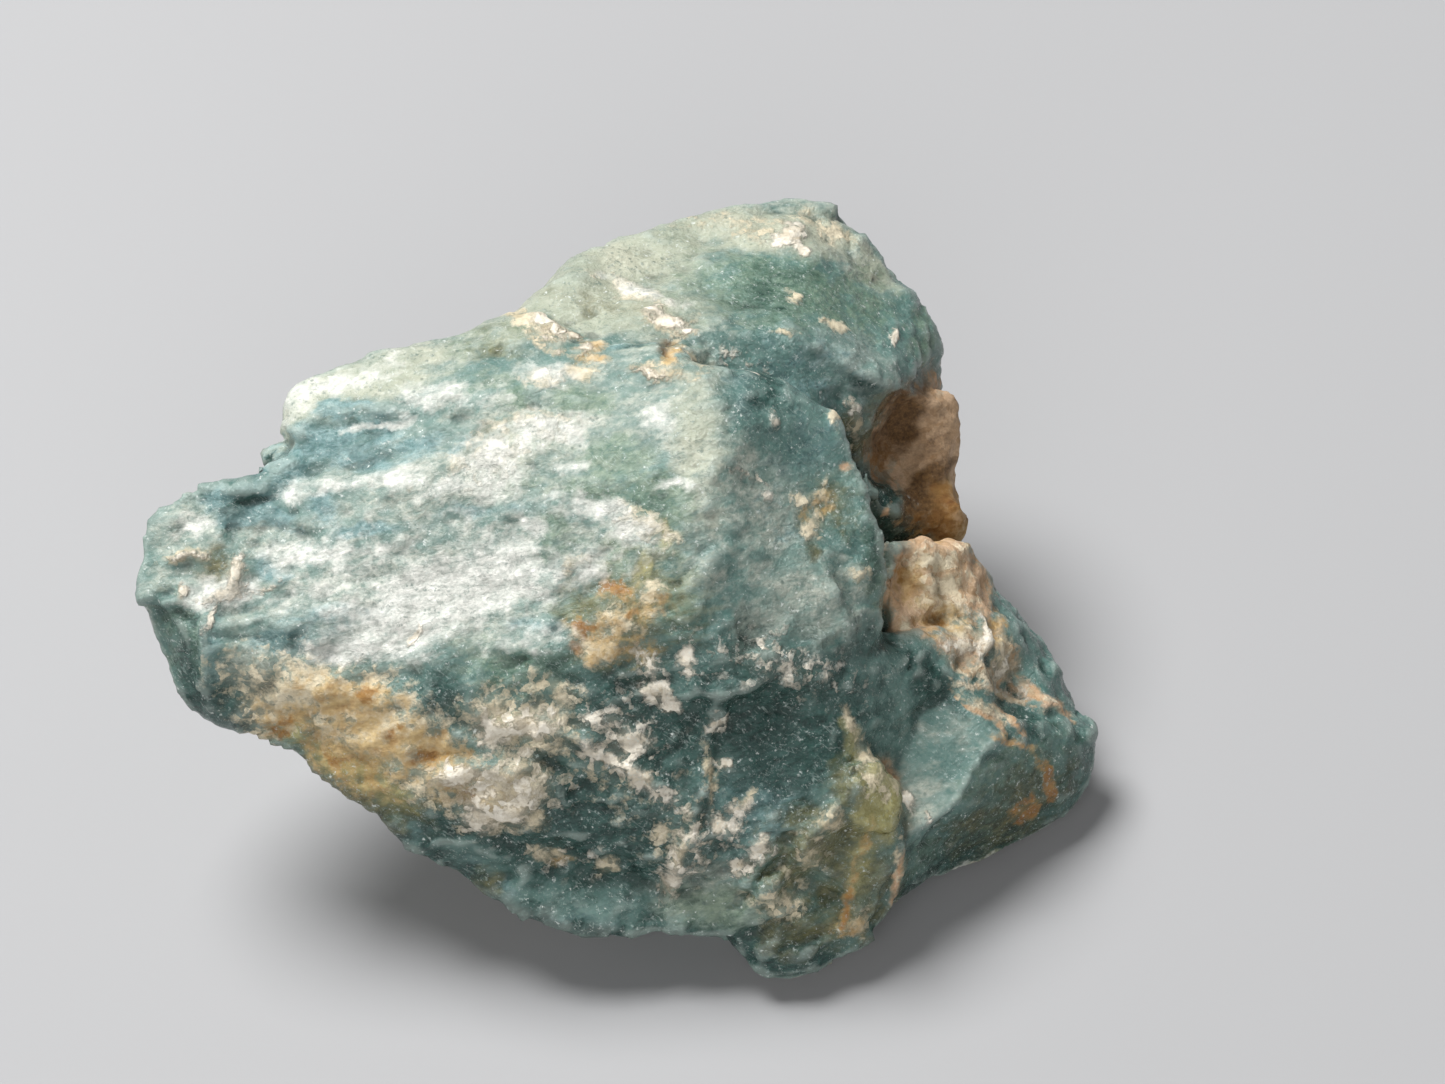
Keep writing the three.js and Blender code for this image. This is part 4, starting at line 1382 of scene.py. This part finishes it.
# Painted highlights: glints and sparkle are light flecks put into the colour, where small facets
# would catch the lamp.
glints = times(times(ramp(tree, specks, 0.68, 1.0), ramp(tree, flecks, 0.2, 0.8)), clear)
colour = tinted(colour, glints, 0.5, (0.46, 0.56, 0.52))
sparkle = times(times(ramp(tree, grit, 0.72, 1.02), ramp(tree, flecks, 0.3, 0.7)), crystal)
colour = tinted(colour, sparkle, 0.8, (0.80, 0.84, 0.80))
print("nodes in the colour:", len(nodes))

# %% [markdown]
# ## Gloss and small facets
#
# Clear crystal shines and host rock does not, so roughness follows the minerals. The smallest
# faces are too fine to model: each cell of a Voronoi pattern is given a tilt of its own, and a
# Bump node turns that into glints.

# %% Small facets
def facets(scale):
    """Height of flat faces that each tip their own way, scale of them to a millimetre."""
    cells = nodes.new("ShaderNodeTexVoronoi")
    links.new(in_mm, cells.inputs["Vector"])
    cells.inputs["Scale"].default_value = scale
    offset = vector_node("SUBTRACT", in_mm, cells.outputs["Position"])["Vector"]
    tip = vector_node("SUBTRACT", cells.outputs["Color"], (0.5, 0.5, 0.5))["Vector"]
    return times(vector_node("DOT_PRODUCT", offset, tip)["Value"], scale)


height = math_node(tree, "ADD", facets(3.0), times(facets(7.5), 0.4))
for mask, share in ((frost, 0.25), (specks, 0.12), (masks["crust"], 1.1), (masks["cream"], 0.5)):
    height = math_node(tree, "ADD", height, times(mask, share))
bump = nodes.new("ShaderNodeBump")
bump.inputs["Strength"].default_value = 0.8
bump.inputs["Distance"].default_value = 0.11 * MM
links.new(height, bump.inputs["Height"])
print("small facets stand", round(bump.inputs["Distance"].default_value / MM, 2), "mm high")

# %% Finish
GLOSSY = 0.2
MATT = 0.8
links.new(colour, shader.inputs["Base Color"])
dry = larger(larger(masks["crust"], masks["pink"]), masks["cream"])
dry = larger(dry, times(masks["milk"], 0.7))
shine = nodes.new("ShaderNodeMapRange")
links.new(dry, shine.inputs["Value"])
shine.inputs["To Min"].default_value = GLOSSY
shine.inputs["To Max"].default_value = MATT
links.new(shine.outputs["Result"], shader.inputs["Roughness"])
links.new(bump.outputs["Normal"], shader.inputs["Normal"])
stone.data.materials.append(material)
print("material:", material.name, "with", len(nodes), "nodes")

# %% Tell the frame what the new skin is
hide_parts(NODE)
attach(stone, "root")
print(stone.name, "takes the place of", NODE)

# %% [markdown]
# ## Showing it
#
# A pale floor, one large soft lamp above, behind and to the left, as a window would be, and a
# weaker one in front.

# %% Floor
bpy.ops.mesh.primitive_plane_add(size=2.0, location=(0, 0, 0))
floor = bpy.context.object
floor.name = "floor"
paper = bpy.data.materials.new("pale_paper")
paper.use_nodes = True
paper_shader = paper.node_tree.nodes["Principled BSDF"]
paper_shader.inputs["Base Color"].default_value = (0.37, 0.37, 0.375, 1)
paper_shader.inputs["Roughness"].default_value = 0.9
floor.data.materials.append(paper)
print("floor, m:", [round(side, 2) for side in floor.dimensions])


# %% Light
STONE_MIDDLE = Vector((0, 0, 6)) * MM


def soft_lamp(name, place, size, power):
    lamp_data = bpy.data.lights.new(name, "AREA")
    lamp_data.shape = "DISK"
    lamp_data.size = size
    lamp_data.energy = power
    lamp = bpy.data.objects.new(name, lamp_data)
    lamp.location = place
    aim = STONE_MIDDLE - Vector(place)
    lamp.rotation_euler = aim.to_track_quat("-Z", "Y").to_euler()
    bpy.context.collection.objects.link(lamp)
    print(name, "gives", power, "W")


soft_lamp("window_above", (-0.12, 0.09, 0.31), 0.18, 1.85)
soft_lamp("fill_in_front", (-0.04, -0.32, 0.20), 0.30, 0.6)
world = bpy.data.worlds.new("studio")
world.use_nodes = True
sky = world.node_tree.nodes["Background"]
sky.inputs["Color"].default_value = (0.95, 0.97, 1.0, 1)
sky.inputs["Strength"].default_value = 0.14
bpy.context.scene.world = world
bpy.context.scene.view_settings.view_transform = "Standard"
